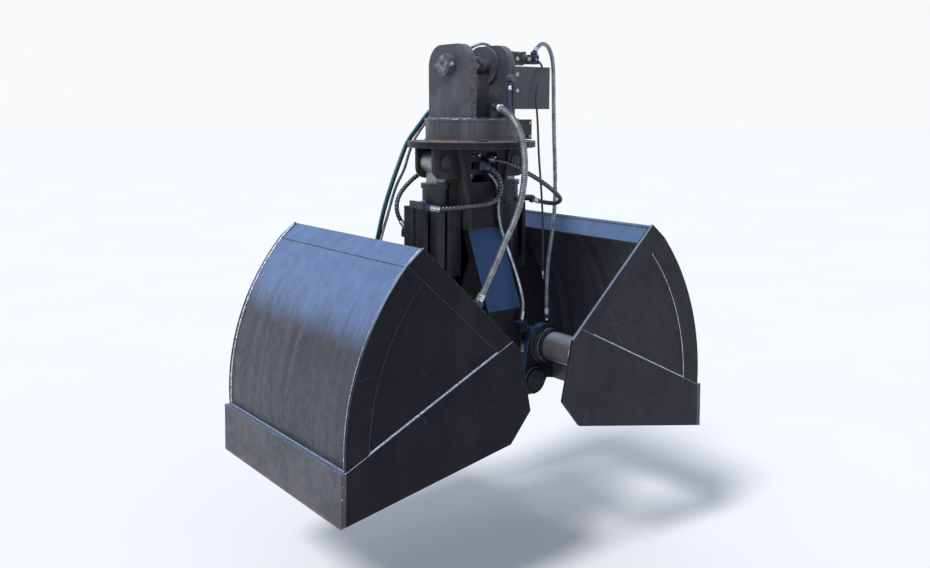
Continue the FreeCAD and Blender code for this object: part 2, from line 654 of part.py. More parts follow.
gland_low = barrel_low - top_pin_z
for word, side in (("left", -1), ("right", 1)):
    body = start_body("cylinder_%s_barrel" % word)
    slab(body, "tube", "XY_Plane", gland_low, -100, lambda d: circle(d, 0, 0, barrel_radius))
    slab(body, "cap", "XY_Plane", -104, -84, lambda d: circle(d, 0, 0, barrel_radius + 6))
    slab(body, "gland", "XY_Plane", gland_low - 20, gland_low, lambda d: circle(d, 0, 0, barrel_radius + 4))
    slab(body, "neck", "XY_Plane", -88, 0, lambda d: box_outline(d, -24, -34, 24, 34))
    slab(body, "eye", "XZ_Plane", -42, 42, lambda d: circle(d, 0, 0, 47))
    slab(body, "eye_hole", "XZ_Plane", -42, 42, lambda d: circle(d, 0, 0, top_pin_radius + run_gap), True)
    port_z = guard_high - top_pin_z + 17
    if side < 0:
        slab(body, "port_pipe", "YZ_Plane", -110, 4 - barrel_radius, lambda d: circle(d, 0, port_z, 11))
        slab(body, "port_block", "XY_Plane", port_z - 14, port_z + 14,
             lambda d: box_outline(d, -120, -76, -105.5, 13))
    else:
        slab(body, "port_pipe", "YZ_Plane", 12, 98.5, lambda d: circle(d, -48, port_z, 13))
    slab(body, "bore", "XY_Plane", gland_low + 20, -124, lambda d: circle(d, 0, 0, barrel_radius - 9.9), True)
    slab(body, "rod_hole", "XY_Plane", gland_low - 20, gland_low + 20,
         lambda d: circle(d, 0, 0, rod_radius + run_gap), True)
    seat_cylinder(body, side)

    body = start_body("cylinder_%s_guard" % word)
    guard_z0 = guard_low - top_pin_z
    guard_z1 = guard_high - top_pin_z
    profile = [(82, 112), (-82, 112), (-82, -64), (-18, -64), (-18, -58), (-76, -58), (-76, 106), (76, 106),
               (76, -32), (66, -32), (66, -38), (82, -38), (82, 36), (88, 36), (88, 46), (82, 46)]
    slab(body, "channel", "XY_Plane", guard_z0, guard_z1, lambda d: outline(d, mirrored(side, profile)))
    for name, at in (("upper_bracket", guard_z1 - 50), ("lower_bracket", guard_z0 + 30)):
        slab(body, name, "XY_Plane", at, at + 20, lambda d: box_outline(d, -16, 40, 16, 108))
    slab(body, "saddle", "XY_Plane", guard_z0, guard_z1, lambda d: circle(d, 0, 0, barrel_radius), True)
    if side < 0:
        slab(body, "rear_port", "XY_Plane", guard_z1 - 135, guard_z1 - 105,
             lambda d: box_outline(d, -68, 111, -32, 156))
    seat_cylinder(body, side)

    body = start_body("cylinder_%s_rod" % word)
    slab(body, "rod", "XY_Plane", -pin_to_eye, -170, lambda d: circle(d, 0, 0, rod_radius))
    slab(body, "piston", "XY_Plane", -172, -132, lambda d: circle(d, 0, 0, barrel_radius - 10))
    slab(body, "eye", "XZ_Plane", 3 - lug_gap, lug_gap - 3, lambda d: circle(d, 0, -pin_to_eye, rod_eye))
    slab(body, "journal", "XZ_Plane", 1.5 - lug_gap, lug_gap - 1.5, lambda d: circle(d, 0, -pin_to_eye, 32))
    seat_cylinder(body, side)

# head: slewing drum, ears, hanger pin
body = start_body("head_drum")
drum_low = flange_top + drum_gap
slab(body, "base", "XY_Plane", drum_low, drum_low + 9, lambda d: circle(d, 0, 0, drum_radius))
slab(body, "wall", "XY_Plane", drum_low + 9, drum_top - 8, lambda d: circle(d, 0, 0, drum_radius - 4))
slab(body, "lid", "XY_Plane", drum_top - 8, drum_top, lambda d: circle(d, 0, 0, drum_radius))
slab(body, "front_post", "XY_Plane", drum_top - 4, drum_top + 65, lambda d: box_outline(d, 14, -118, 46, -86))
slab(body, "rear_post", "XY_Plane", drum_top - 4, drum_top + 91, lambda d: box_outline(d, -20, 145, 40, 185))
slab(body, "bore", "XY_Plane", drum_low, flange_top + spigot_height + 1,
     lambda d: circle(d, 0, 0, spigot_radius + run_gap), True)

ear_outer = ear_inner + ear_thick
ear_shape = [(-ear_half, drum_top), (ear_half, drum_top), (ear_half, ear_top - ear_corner),
             (ear_half - ear_corner, ear_top), (ear_corner - ear_half, ear_top),
             (-ear_half, ear_top - ear_corner)]
ear_rounds = {2: (1, ear_corner), 4: (1, ear_corner)}
bolt_x = ear_outer + 16
for word, side in (("left", -1), ("right", 1)):
    body = start_body("head_ear_" + word)
    near, far = (-ear_outer, -ear_inner) if side < 0 else (ear_inner, ear_outer)
    slab(body, "plate", "YZ_Plane", near, far, lambda d: outline(d, ear_shape, ear_rounds))
    near, far = (-ear_inner, 12 - ear_inner) if side < 0 else (ear_inner - 12, ear_inner)
    slab(body, "disc", "YZ_Plane", near, far, lambda d: circle(d, 0, hanger_height, 75))
    if side < 0:
        slab(body, "collar", "YZ_Plane", -ear_outer - 30, -ear_outer,
             lambda d: circle(d, 0, hanger_height, collar_radius))
        slab(body, "bolt_hole", "XZ_Plane", -60, 60, lambda d: circle(d, -bolt_x, hanger_height, 9), True)
    else:
        slab(body, "link_boss", "XZ_Plane", -ear_half - 30, -ear_half,
             lambda d: circle(d, ear_inner + 2, hanger_height - 56, 16))
        for name, drop in (("stud_high", 38), ("stud_low", 102)):
            slab(body, name, "YZ_Plane", ear_outer, ear_outer + 16,
                 lambda d: circle(d, 24 - ear_half, hanger_height - drop, 9))
    slab(body, "pin_hole", "YZ_Plane", -ear_outer - 31, ear_outer + 1,
         lambda d: circle(d, 0, hanger_height, hanger_radius), True)

body = start_body("head_hanger_pin")
slab(body, "pin", "YZ_Plane", -ear_outer - 30, ear_outer + 12,
     lambda d: circle(d, 0, hanger_height, hanger_radius))
slab(body, "bolt_hole", "XZ_Plane", -60, 60, lambda d: circle(d, -bolt_x, hanger_height, 9), True)

body = start_body("head_keeper_bolt")
slab(body, "shank", "XZ_Plane", -60, 60, lambda d: circle(d, -bolt_x, hanger_height, 9))
slab(body, "head", "XZ_Plane", -60, -collar_radius, lambda d: circle(d, -bolt_x, hanger_height, 14))
slab(body, "nut", "XZ_Plane", collar_radius, 62, lambda d: circle(d, -bolt_x, hanger_height, 15))

body = start_body("head_hose_shield")
plate_y = -ear_half
shield = [(102, plate_y - 6), (205, plate_y - 6), (205, plate_y - 3), (302, plate_y - 3), (302, plate_y + 3),
          (203, plate_y + 3), (203, plate_y), (102, plate_y)]
shield_low = drum_top + 39
slab(body, "plates", "XY_Plane", shield_low, shield_low + 172, lambda d: outline(d, shield))

valve_rise = cell("valve_rise", 27, "valve block centre above the hanger pin")
valve_side = cell("valve_side", 77, "valve block centre in front of the hanger pin")
valve_y = -valve_side
valve_z = hanger_height + valve_rise
valve_end = ear_outer + 73
body = start_body("head_valve_block")
slab(body, "block", "YZ_Plane", ear_outer, valve_end,
     lambda d: box_outline(d, valve_y - 27, valve_z - 25, valve_y + 27, valve_z + 25))
slab(body, "nut", "YZ_Plane", valve_end, valve_end + 16, lambda d: circle(d, valve_y, valve_z, 26))
slab(body, "fitting", "YZ_Plane", valve_end + 16, valve_end + 38, lambda d: circle(d, valve_y, valve_z, 18))
slab(body, "elbow", "YZ_Plane", valve_end + 38, valve_end + 94,
     lambda d: box_outline(d, valve_y - 18, valve_z - 19, valve_y + 18, valve_z + 19))

body = start_body("head_worm_housing")
slab(body, "box", "XY_Plane", drum_low + 3, drum_top - 4,
     lambda d: box_outline(d, drum_radius - 46, -70, drum_radius + 74, 250))
slab(body, "saddle", "XY_Plane", drum_low + 3, drum_top - 4, lambda d: circle(d, 0, 0, drum_radius), True)

body = start_body("head_slew_motor")
slab(body, "case", "XZ_Plane", 250, 352, lambda d: circle(d, drum_radius + 26, drum_top - 46, 38))
slab(body, "cover", "XZ_Plane", 352, 372, lambda d: circle(d, drum_radius + 26, drum_top - 46, 31))


# hoses: straight runs joined by tangent arcs, each list holds the corner points
hoses = {
    "hose_guarded": (27, [
        (30, -118, 1435), (5.5, -198.2, 1429.5), (3.7, -272.2, 1390), (11.7, -315.6, 1319.2),
        (18, -326.7, 1235.3), (10, -334.9, 1151.4), (-9, -339, 1069.6), (-42, -339, 991.4),
        (-85.5, -335.4, 914.7), (-120.4, -328.5, 837.6), (-154.8, -318.4, 760.5),
        (-190, -305.8, 684.2),
    ]),
    "hose_right": (18, [
        (268, -77, 1650), (310.3, -63, 1699.1), (372.8, -41.3, 1702.4), (419.9, -23.6, 1659.6),
        (432.7, -20, 1593.6), (435.5, -20.1, 1525.8), (437.6, -20, 1458), (439.8, -20, 1390.2),
        (442.6, -20, 1322.4), (446.4, -20.2, 1254.7), (451, -20, 1187), (455, -19.4, 1119.2),
        (455.9, -19.4, 1051.4), (451.5, -21.6, 983.8), (442.1, -25.8, 916.7), (428.3, -31.2, 850.6),
        (411.2, -37.9, 785.2), (396.6, -46.3, 719.5), (385.3, -55.3, 653.2), (376.7, -63.8, 586.5),
        (373.5, -70, 519.1),
    ]),
    "hose_thin": (9, [
        (262, -95, 1633), (257.9, -157.1, 1608.9), (224.7, -169, 1551.1), (204.5, -168, 1485.9),
        (211.3, -171.4, 1416.4), (213.3, -176.4, 1346.8), (215.7, -177.9, 1277),
        (224.9, -174, 1207.9), (236.6, -170, 1139.4), (245.6, -168, 1070.2),
        (251.2, -168.6, 1000.6), (254.4, -169.5, 930.8), (256.2, -169, 860.9), (257.7, -168, 791),
        (261.3, -166, 721.3),
    ]),
    "hose_teal": (20, [
        (-20, 165, 1462), (-90.2, 165.3, 1428.8), (-131, 193, 1361.2), (-164, 239, 1291.6),
        (-197.6, 239, 1220.2), (-236, 233, 1145.1), (-268, 234, 1066.9),
        (-294, 238, 987.2), (-306.7, 251.1, 906.4), (-323.6, 259.5, 825), (-349.7, 242.7, 748.6),
        (-386.9, 190, 696.5),
    ]),
    "hose_silver": (13, [
        (-20, 165, 1425), (-76.2, 185, 1403.3), (-101.2, 221, 1348.7), (-124, 256, 1290.1),
        (-150, 254, 1230.6), (-177, 243, 1171.9), (-202, 238, 1110.5), (-218, 240, 1047.8),
        (-239, 245, 983.5), (-265, 252, 917.8), (-292, 257, 851.6), (-313, 250, 786.2),
    ]),
    "hose_head_loop": (12, [
        (10, 165, 1478), (8.5, 165.7, 1521.1), (8.6, 163.6, 1564.2), (14.1, 155.1, 1606),
        (29.8, 135.9, 1640.8), (52.9, 109.2, 1665.5), (76.1, 82.7, 1690.4), (108, 57.1, 1701.3),
        (140.4, 38.7, 1682.2), (156.8, 33.1, 1643.5), (153.4, 37.8, 1600.9), (152.4, 42.9, 1558.1),
        (154.9, 48, 1515.3), (157.2, 54.6, 1472.7), (158.2, 60.7, 1430), (160, 60, 1387),
    ]),
    "hose_head_link": (13, [
        (77, -157, 1532), (73.2, -160.8, 1496), (72, -162, 1459.7), (72, -161.2, 1423.3),
        (73, -159, 1387),
    ]),
    "hose_left_port": (22, [
        (-12, -104, 1196), (31, -114, 1178), (58, -121, 1140), (58.5, -127, 1093),
        (31, -133, 1056.6), (-12.3, -138.3, 1041.4), (-61, -135.9, 1038.5), (-109.5, -130.1, 1036),
        (-157.4, -120.1, 1033.4), (-203.7, -104.7, 1031.1), (-247, -84, 1032.7), (-283, -64.5, 1040),
    ]),
    "hose_right_port": (20, [
        (31, -69, 1222), (40, -113, 1221), (70, -148, 1211), (110.6, -167.5, 1190.5),
        (150.8, -182.1, 1166.8), (190.5, -195.2, 1143.8), (229.8, -205.1, 1118.7),
        (269.2, -208.9, 1092), (308.9, -202.3, 1066.7), (344.8, -180.1, 1045.1),
        (364.2, -141.3, 1026.9), (355.9, -95.5, 1021.2), (325.6, -60.4, 1029.2), (283, -48, 1045),
    ]),
    "hose_left_rear": (20, [
        (-24.5, 70.5, 1186), (-42, 106, 1185.1), (-75, 131.3, 1181.9), (-117, 140.7, 1174.9),
        (-158.9, 141.8, 1162), (-196.8, 143.7, 1140.4), (-230.1, 147.2, 1112.2),
        (-260.7, 149.3, 1080.8), (-279.3, 149.9, 1041.5), (-278.3, 149.7, 998.3), (-258.5, 148, 959.5),
        (-235, 138, 925),
    ]),
    "hose_leg": (13, [
        (34, -66, 1166), (50, -102, 1139), (68, -103, 1074), (62.1, -102.5, 1011.3),
        (68.7, -106, 949.9), (82.6, -119.5, 891), (86.7, -148.2, 835.9), (86.7, -180, 782.7),
        (83.5, -212.8, 730.2), (78.4, -243.5, 676.6), (75.2, -261.6, 617.8), (66.4, -258, 556.9),
    ]),
}


def hose_tube(width, corners):
    """A solid tube along the corner points, every corner rounded by a tangent arc."""
    spots = [V(*c) for c in corners]
    gaps = [(spots[i + 1] - spots[i]).Length for i in range(len(spots) - 1)]
    edges = []
    last = spots[0]
    least = None
    for i in range(1, len(spots) - 1):
        back = (spots[i] - spots[i - 1]).normalize()
        ahead = (spots[i + 1] - spots[i]).normalize()
        turn = back.getAngle(ahead)
        trim = 0.45 * min(gaps[i - 1], gaps[i])
        radius = trim / math.tan(turn / 2.0)
        least = radius if least is None else min(least, radius)
        begin = spots[i] - back * trim
        finish = spots[i] + ahead * trim
        inward = (ahead - back).normalize()
        middle = spots[i] + inward * (radius / math.cos(turn / 2.0) - radius)
        edges.append(Part.LineSegment(last, begin).toShape())
        edges.append(Part.Arc(begin, middle, finish).toShape())
        last = finish
    edges.append(Part.LineSegment(last, spots[-1]).toShape())
    path = Part.Wire(edges)
    ring = Part.Wire([Part.makeCircle(width / 2.0, spots[0], spots[1] - spots[0])])
    tube = path.makePipeShell([ring], True, False)
    ideal = math.pi * width * width / 4.0 * path.Length
    return tube, least, path.Length, tube.Volume / ideal


for name, (width, corners) in hoses.items():
    wide = cell(name + "_width", width, "outer diameter")
    tube, least, length, share = hose_tube(wide.value, corners)
    print("%s: length %.0f, smallest bend radius %.0f, volume share %.4f" % (name, length, least, share))
    if abs(share - 1.0) > 0.01:
        raise RuntimeError("the tube is not the section along its path: " + name)
    part = doc.addObject("Part::Feature", name)
    part.Label = name
    part.Shape = tube
    nodes.append(part)


doc.recompute()
for thing in doc.Objects:
    if "Invalid" in thing.State:
        raise RuntimeError("not rebuilt: " + thing.Name)
for thing, prop, size in bound:
    if thing.TypeId == "Sketcher::SketchObject" and prop.startswith("Constraints["):
        number = int(prop[12:-1])
        if abs(thing.Constraints[number].Value - size.value) > 0.001:
            raise RuntimeError("%s %s does not follow the sheet" % (thing.Name, prop))
for node in nodes:
    shape = node.Shape
    if shape.isNull() or not shape.isValid() or len(shape.Solids) != 1:
        raise RuntimeError("bad shape: " + node.Name)
for node in nodes:
    node.Shape.exportStep("parts/%s.step" % node.Label)
print("%d parts written" % len(nodes))
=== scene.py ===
import json
import math
import random

import bpy
from mathutils import Matrix, Vector


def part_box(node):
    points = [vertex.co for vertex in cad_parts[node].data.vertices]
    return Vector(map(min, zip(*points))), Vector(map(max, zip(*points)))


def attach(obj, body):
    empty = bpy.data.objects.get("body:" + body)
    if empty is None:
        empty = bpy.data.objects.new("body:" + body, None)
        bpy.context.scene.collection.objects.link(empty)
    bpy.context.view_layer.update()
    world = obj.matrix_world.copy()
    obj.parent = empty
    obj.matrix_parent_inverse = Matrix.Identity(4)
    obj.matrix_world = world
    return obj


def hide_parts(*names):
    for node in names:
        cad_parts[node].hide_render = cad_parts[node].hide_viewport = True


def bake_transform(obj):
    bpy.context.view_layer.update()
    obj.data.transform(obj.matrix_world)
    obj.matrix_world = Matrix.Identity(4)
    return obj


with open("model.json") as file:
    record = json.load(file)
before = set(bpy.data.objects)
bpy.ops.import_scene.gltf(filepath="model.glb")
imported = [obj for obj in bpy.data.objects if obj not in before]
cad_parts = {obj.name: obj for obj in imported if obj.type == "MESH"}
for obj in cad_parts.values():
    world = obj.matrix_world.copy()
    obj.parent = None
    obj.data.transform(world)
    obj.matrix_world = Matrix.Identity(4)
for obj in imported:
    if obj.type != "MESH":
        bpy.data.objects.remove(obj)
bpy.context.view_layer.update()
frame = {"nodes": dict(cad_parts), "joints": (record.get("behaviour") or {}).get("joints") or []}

MM = 0.001
TURN = 2 * math.pi
UP = Vector((0, 0, 1))
SIDES = (("left", -1), ("right", 1))
ENDS = (("front", -1), ("rear", 1))
random.seed(7)

joint = {row["name"]: row for row in frame["joints"]}
jaw_swing = math.radians(joint["right_jaw_turn"]["range_deg"][1])
pivot_half = joint["right_jaw_turn"]["pos_m"][0] / MM
pivot_height = joint["right_jaw_turn"]["pos_m"][2] / MM
top_pin_x = joint["right_barrel_swing"]["pos_m"][0] / MM
top_pin_z = joint["right_barrel_swing"]["pos_m"][2] / MM
barrel_way = Vector(joint["right_rod_slide"]["axis"])

# ---------------------------------------------------------------- jaw plate sizes, mm
half_width, inner_face, sheet_face, band_face = 500, 486, 494, 498    # faces, from the jaw's middle plane
arc_x, arc_z, arc_radius = -114.6, 204.3, 991.9                       # outer edge of the side plate
arc_top, arc_low = math.radians(-36.5), math.radians(-80.4)
top_corner = (724.5, -306.2)
edge_angle, edge_length = math.radians(145.45), 620.8                 # its straight upper edge
mouth_x, mouth_depth = 1.5 - pivot_half, 838.7
seam_start, band_edge, band_arc, band_low = 58, 77, 95, 104           # lower plate's joint, border band
shell_drop, shell_thick, lip_thick = 6, 10, 20
strip_width = 88
tube_x, tube_z, tube_radius = 157.8, -20, 61
lug_end, nipple_depth = 60, 452                                       # along the cross tube

# ---------------------------------------------------------------- frame and head sizes, mm
flange_low, spigot_radius = 1271, 120
column_top, column_low, bend_height, column_foot = 140, 87, 935, 1010
front_face, lobe_face = 90, 66
barrel_radius, barrel_low = 55, 606
drum_radius, drum_top = 196, 1387
ear_inner, ear_outer, ear_half = 83, 117, 142
hanger_height, hanger_end, keeper_x = 1604, -146.6, -133
worm_bolt_inset = 14
floor_gap = 25                                                        # under the closed jaws


# ================================================================ modelling helpers
def mm(*numbers):
    return Vector(numbers) * MM


def only(piece):
    bpy.ops.object.select_all(action="DESELECT")
    piece.select_set(True)
    bpy.context.view_layer.objects.active = piece


def edit(piece):
    only(piece)
    bpy.ops.object.mode_set(mode="EDIT")
    bpy.ops.mesh.select_all(action="SELECT")


def leave_edit():
    bpy.ops.object.mode_set(mode="OBJECT")


def settle(piece, place=None):
    """Moves a finished piece to its place and keeps its object at the origin."""
    only(piece)
    if place is not None:
        piece.matrix_world = place
    bpy.ops.object.transform_apply(location=True, rotation=True, scale=True)
    return piece


def standing(at, way, roll=0.0):
    """The placement of a piece modelled along +Z, in metres."""
    turn = Vector(way).to_track_quat("Z", "Y").to_matrix().to_4x4()
    return Matrix.Translation(at) @ turn @ Matrix.Rotation(roll, 4, "Z")


def smooth(piece, angle=38):
    only(piece)
    bpy.ops.object.shade_smooth_by_angle(angle=math.radians(angle))
    return piece


def soften(piece, width, segments=2, angle=40):
    """Eased edges, width in mm."""
    only(piece)
    bevel = piece.modifiers.new("edges", "BEVEL")
    bevel.width = width * MM
    bevel.segments = segments
    bevel.limit_method = "ANGLE"
    bevel.angle_limit = math.radians(angle)
    bpy.ops.object.modifier_apply(modifier=bevel.name)
    return piece


def finish(piece, body, look):
    """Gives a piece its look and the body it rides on."""
    piece.data.materials.clear()
    piece.data.materials.append(look)
    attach(piece, body)
    return piece


def fit_on(piece, at, way, body, look, roll=0.0):
    """Stands a shape modelled along +Z at its place, with its body and look."""
    settle(piece, standing(at, way, roll))
    return finish(piece, body, look)


def drawn_out(name, profile, sides=32):
    """A solid drawn out of a disc along +Z, ring by ring; profile is (radius, height) in mm."""
    radius, height = profile[0]
    bpy.ops.object.select_all(action="DESELECT")
    bpy.ops.mesh.primitive_circle_add(vertices=sides, radius=radius * MM, fill_type="NGON")
    piece = bpy.context.active_object
    piece.name = name
    piece.data.name = name
    edit(piece)
    bpy.ops.transform.translate(value=(0, 0, height * MM))
    for wide, high in profile[1:]:
        bpy.ops.mesh.extrude_region_move(TRANSFORM_OT_translate={"value": (0, 0, (high - height) * MM)})
        if wide != radius:
            grow = wide / radius
            bpy.ops.transform.resize(value=(grow, grow, 1))
        radius, height = wide, high
    bpy.ops.mesh.select_all(action="SELECT")
    bpy.ops.mesh.remove_doubles(threshold=0.00001)
    bpy.ops.mesh.normals_make_consistent(inside=False)
    leave_edit()
    return piece


def joined(name, pieces):
    bpy.ops.object.select_all(action="DESELECT")
    for piece in pieces:
        piece.select_set(True)
    bpy.context.view_layer.objects.active = pieces[0]
    bpy.ops.object.join()
    whole = bpy.context.active_object
    whole.name = name
    whole.data.name = name
    return whole


def turned(name, profile, sides, at, way, body, look, angle=30):
    """A turned piece in its place."""
    return fit_on(smooth(drawn_out(name, profile, sides), angle), at, way, body, look)


def hexagon(name, across, height):
    """A nut or bolt head: six sides, chamfered top and bottom corners, and a raised centre."""
    wide = across / math.sqrt(3)
    rim = height * 0.12
    flats = [(wide * 0.93, 0), (wide, rim), (wide, height - rim), (wide * 0.93, height)]
    centre = [(across * 0.40, height * 0.5), (across * 0.40, height + 0.8), (across * 0.34, height + 1.4)]
    nut = drawn_out(name + "_flats", flats, 6)
    soften(nut, 0.5, 1, 30)
    boss = drawn_out(name + "_boss", centre, 24)
    return smooth(joined(name, [nut, boss]), 32)


def resample(line, spacing):
    """Points at even steps along a line, and the line's length."""
    reach = [0.0]
    for a, b in zip(line, line[1:]):
        reach.append(reach[-1] + (b - a).length)
    count = max(2, round(reach[-1] / spacing))
    found = []
    k = 0
    for i in range(count + 1):
        target = reach[-1] * i / count
        while k < len(reach) - 2 and reach[k + 1] < target:
            k += 1
        share = (target - reach[k]) / max(reach[k + 1] - reach[k], 1e-9)
        found.append(line[k].lerp(line[k + 1], share))
    return found, reach[-1]


def route_line(name, corners):
    """The smooth line of a hose: a NURBS spline through a given list of corner points in mm."""
    curve = bpy.data.curves.new(name + "_route", "CURVE")
    curve.dimensions = "3D"
    curve.resolution_u = 24
    spline = curve.splines.new("NURBS")
    spline.points.add(len(corners) - 1)
    for point, corner in zip(spline.points, corners):
        point.co = (*mm(*corner), 1)
    spline.order_u = 3
    spline.use_endpoint_u = True
    holder = bpy.data.objects.new(name + "_route", curve)
    bpy.context.collection.objects.link(holder)
    mesh = bpy.data.meshes.new_from_object(holder)
    line = [vertex.co.copy() for vertex in mesh.vertices]
    bpy.data.objects.remove(holder)
    bpy.data.meshes.remove(mesh)
    bpy.data.curves.remove(curve)
    return line


def bead(name, line, width, body, look, pitch=5.0, lumps=0.2, closed=False):
    """A weld bead along a line of points in metres: overlapping ripples of uneven size."""
    points = resample(line, pitch * MM / 2)[0]
    curve = bpy.data.curves.new(name, "CURVE")
    curve.dimensions = "3D"
    curve.bevel_depth = width * MM / 2
    curve.bevel_resolution = 1
    curve.use_fill_caps = not closed
    spline = curve.splines.new("POLY")
    if closed:
        points = points[:-1]
    spline.points.add(len(points) - 1)
    wave = 1.0
    for i, (point, at) in enumerate(zip(spline.points, points)):
        wave += (1 + random.uniform(-lumps, lumps) - wave) * 0.6
        shake = Vector([random.uniform(-1, 1) for _ in range(3)]) * width * MM * 0.05
        point.co = (*(at + shake), 1)
        point.radius = wave * (1.0 if i % 2 else 0.8)
    spline.use_cyclic_u = closed
    piece = bpy.data.objects.new(name, curve)
    bpy.context.collection.objects.link(piece)
    only(piece)
    bpy.ops.object.convert(target="MESH")
    piece = bpy.context.active_object
    smooth(piece, 60)
    return finish(piece, body, look)


def ring_line(centre, radius, axis, count=72):
    """Points of a circle in metres, round an axis letter."""
    found = []
    for i in range(count + 1):
        angle = TURN * i / count
        c, s = math.cos(angle) * radius, math.sin(angle) * radius
        offset = {"X": (0, c, s), "Y": (c, 0, s), "Z": (c, s, 0)}[axis]
        found.append(mm(*[a + b for a, b in zip(centre, offset)]))
    return found


# ================================================================ shader helpers
def feed(tree, made, inputs):
    """Links or sets each named input of a node."""
    for name, value in dict(inputs).items():
        if isinstance(value, bpy.types.NodeSocket):
            tree.links.new(value, made.inputs[name])
        else:
            made.inputs[name].default_value = value


def put(tree, kind, inputs=(), **settings):
    """A new node with its settings and inputs."""
    made = tree.nodes.new(kind)
    for name, value in settings.items():
        setattr(made, name, value)
    feed(tree, made, inputs)
    return made


def calc(tree, operation, a, b=0.0, clamp=False):
    return put(tree, "ShaderNodeMath", {0: a, 1: b}, operation=operation, use_clamp=clamp).outputs[0]


def times(tree, a, b, clamp=False):
    return calc(tree, "MULTIPLY", a, b, clamp)


def rise(tree, value, low, high, start=0.0, end=1.0):
    """A smooth step from start to end while the value goes from low to high."""
    ends = {"Value": value, "From Min": low, "From Max": high, "To Min": start, "To Max": end}
    return put(tree, "ShaderNodeMapRange", ends, interpolation_type="SMOOTHSTEP").outputs[0]


def blend(tree, share, a, b, mode="MIX"):
    made = put(tree, "ShaderNodeMix", {0: share, 6: a, 7: b}, data_type="RGBA", blend_type=mode)
    return made.outputs[2]


def lay_over(tree, colour, mask, amount, paint):
    """A paint over a colour, where a mask says, by an amount."""
    return blend(tree, times(tree, mask, amount), colour, paint)


def along_axis(tree, vector, letter):
    return put(tree, "ShaderNodeSeparateXYZ", {0: vector}).outputs[letter]


def cloud(tree, vector, scale, detail=4.0, roughness=0.55, distortion=0.0):
    made = put(tree, "ShaderNodeTexNoise", {"Vector": vector, "Scale": scale, "Detail": detail,
                                            "Roughness": roughness, "Distortion": distortion})
    return made.outputs["Fac"]


def stretched(tree, vector, scale, shift=(0, 0, 0)):
    return put(tree, "ShaderNodeMapping", {"Vector": vector, "Scale": scale, "Location": shift}).outputs[0]


def squeezed(tree, vector, shares):
    made = put(tree, "ShaderNodeVectorMath", {0: vector, 1: shares}, operation="MULTIPLY")
    return made.outputs[0]


def object_place(tree):
    return put(tree, "ShaderNodeTexCoord").outputs["Object"]


def grey(value, blue=1.0):
    return (value, value, value * blue, 1)


def new_group(name, inputs, outputs):
    tree = bpy.data.node_groups.new(name, "ShaderNodeTree")
    for label, kind, value in inputs:
        socket = tree.interface.new_socket(label, in_out="INPUT", socket_type=kind)
        socket.default_value = value
    for label, kind in outputs:
        tree.interface.new_socket(label, in_out="OUTPUT", socket_type=kind)
    start = tree.nodes.new("NodeGroupInput")
    end = tree.nodes.new("NodeGroupOutput")
    return tree, start.outputs, end.inputs


def use(tree, group, inputs=()):
    """A shader group placed in a tree with its own values."""
    made = tree.nodes.new("ShaderNodeGroup")
    made.node_tree = group
    feed(tree, made, inputs)
    return made.outputs


FLOAT, VECTOR = "NodeSocketFloat", "NodeSocketVector"


def make_edge_wear():
    """Rubbed edges: where the eased normal leaves the face, broken up by noise."""
    tree, given, out = new_group("edge_wear", [("Width", FLOAT, 0.004), ("Breakup", FLOAT, 40.0),
                                               ("Amount", FLOAT, 0.6)], [("Mask", FLOAT)])
    eased = put(tree, "ShaderNodeBevel", {"Radius": given["Width"]}, samples=6).outputs[0]
    plain = put(tree, "ShaderNodeNewGeometry").outputs["Normal"]
    match = put(tree, "ShaderNodeVectorMath", {0: eased, 1: plain}, operation="DOT_PRODUCT").outputs["Value"]
    edge = rise(tree, calc(tree, "SUBTRACT", 1.0, match), 0.01, 0.16)
    broken = rise(tree, cloud(tree, object_place(tree), given["Breakup"], 5.0, 0.65), 0.62, 0.40)
    cover = calc(tree, "ADD", times(tree, broken, 0.75), 0.25)
    mask = times(tree, times(tree, edge, cover), given["Amount"], True)
    tree.links.new(mask, out["Mask"])
    return tree


def make_upward_dust_and_sheen():
    """Mask of the faces that look up, by the object's own normal: where dust settles, and where a painted sky
    reflection is laid.
    """
    tree, given, out = new_group("upward_dust_and_sheen", [("Low", FLOAT, 0.3), ("High", FLOAT, 0.6),
                                                 ("Breakup", FLOAT, 0.15), ("Scale", FLOAT, 9.0)],
                                 [("Mask", FLOAT)])
    normal = put(tree, "ShaderNodeTexCoord").outputs["Normal"]
    up = along_axis(tree, normal, "Z")
    noise = calc(tree, "SUBTRACT", cloud(tree, object_place(tree), given["Scale"], 5.0, 0.6), 0.5)
    level = calc(tree, "ADD", up, times(tree, noise, given["Breakup"]))
    tree.links.new(rise(tree, level, given["Low"], given["High"]), out["Mask"])
    return tree


def make_streaks():
    """Soft runs along one way of a plate: noise squeezed across it."""
    tree, given, out = new_group("streaks", [("Stretch", VECTOR, (1, 1, 1)), ("Low", FLOAT, 0.45),
                                             ("High", FLOAT, 0.7)], [("Mask", FLOAT)])
    drawn = squeezed(tree, object_place(tree), given["Stretch"])
    broad = cloud(tree, drawn, 1.0, 3.0, 0.5)
    fine = cloud(tree, drawn, 3.3, 4.0, 0.6)
    both = calc(tree, "ADD", times(tree, broad, 0.62), times(tree, fine, 0.38))
    tree.links.new(rise(tree, both, given["Low"], given["High"]), out["Mask"])
    return tree


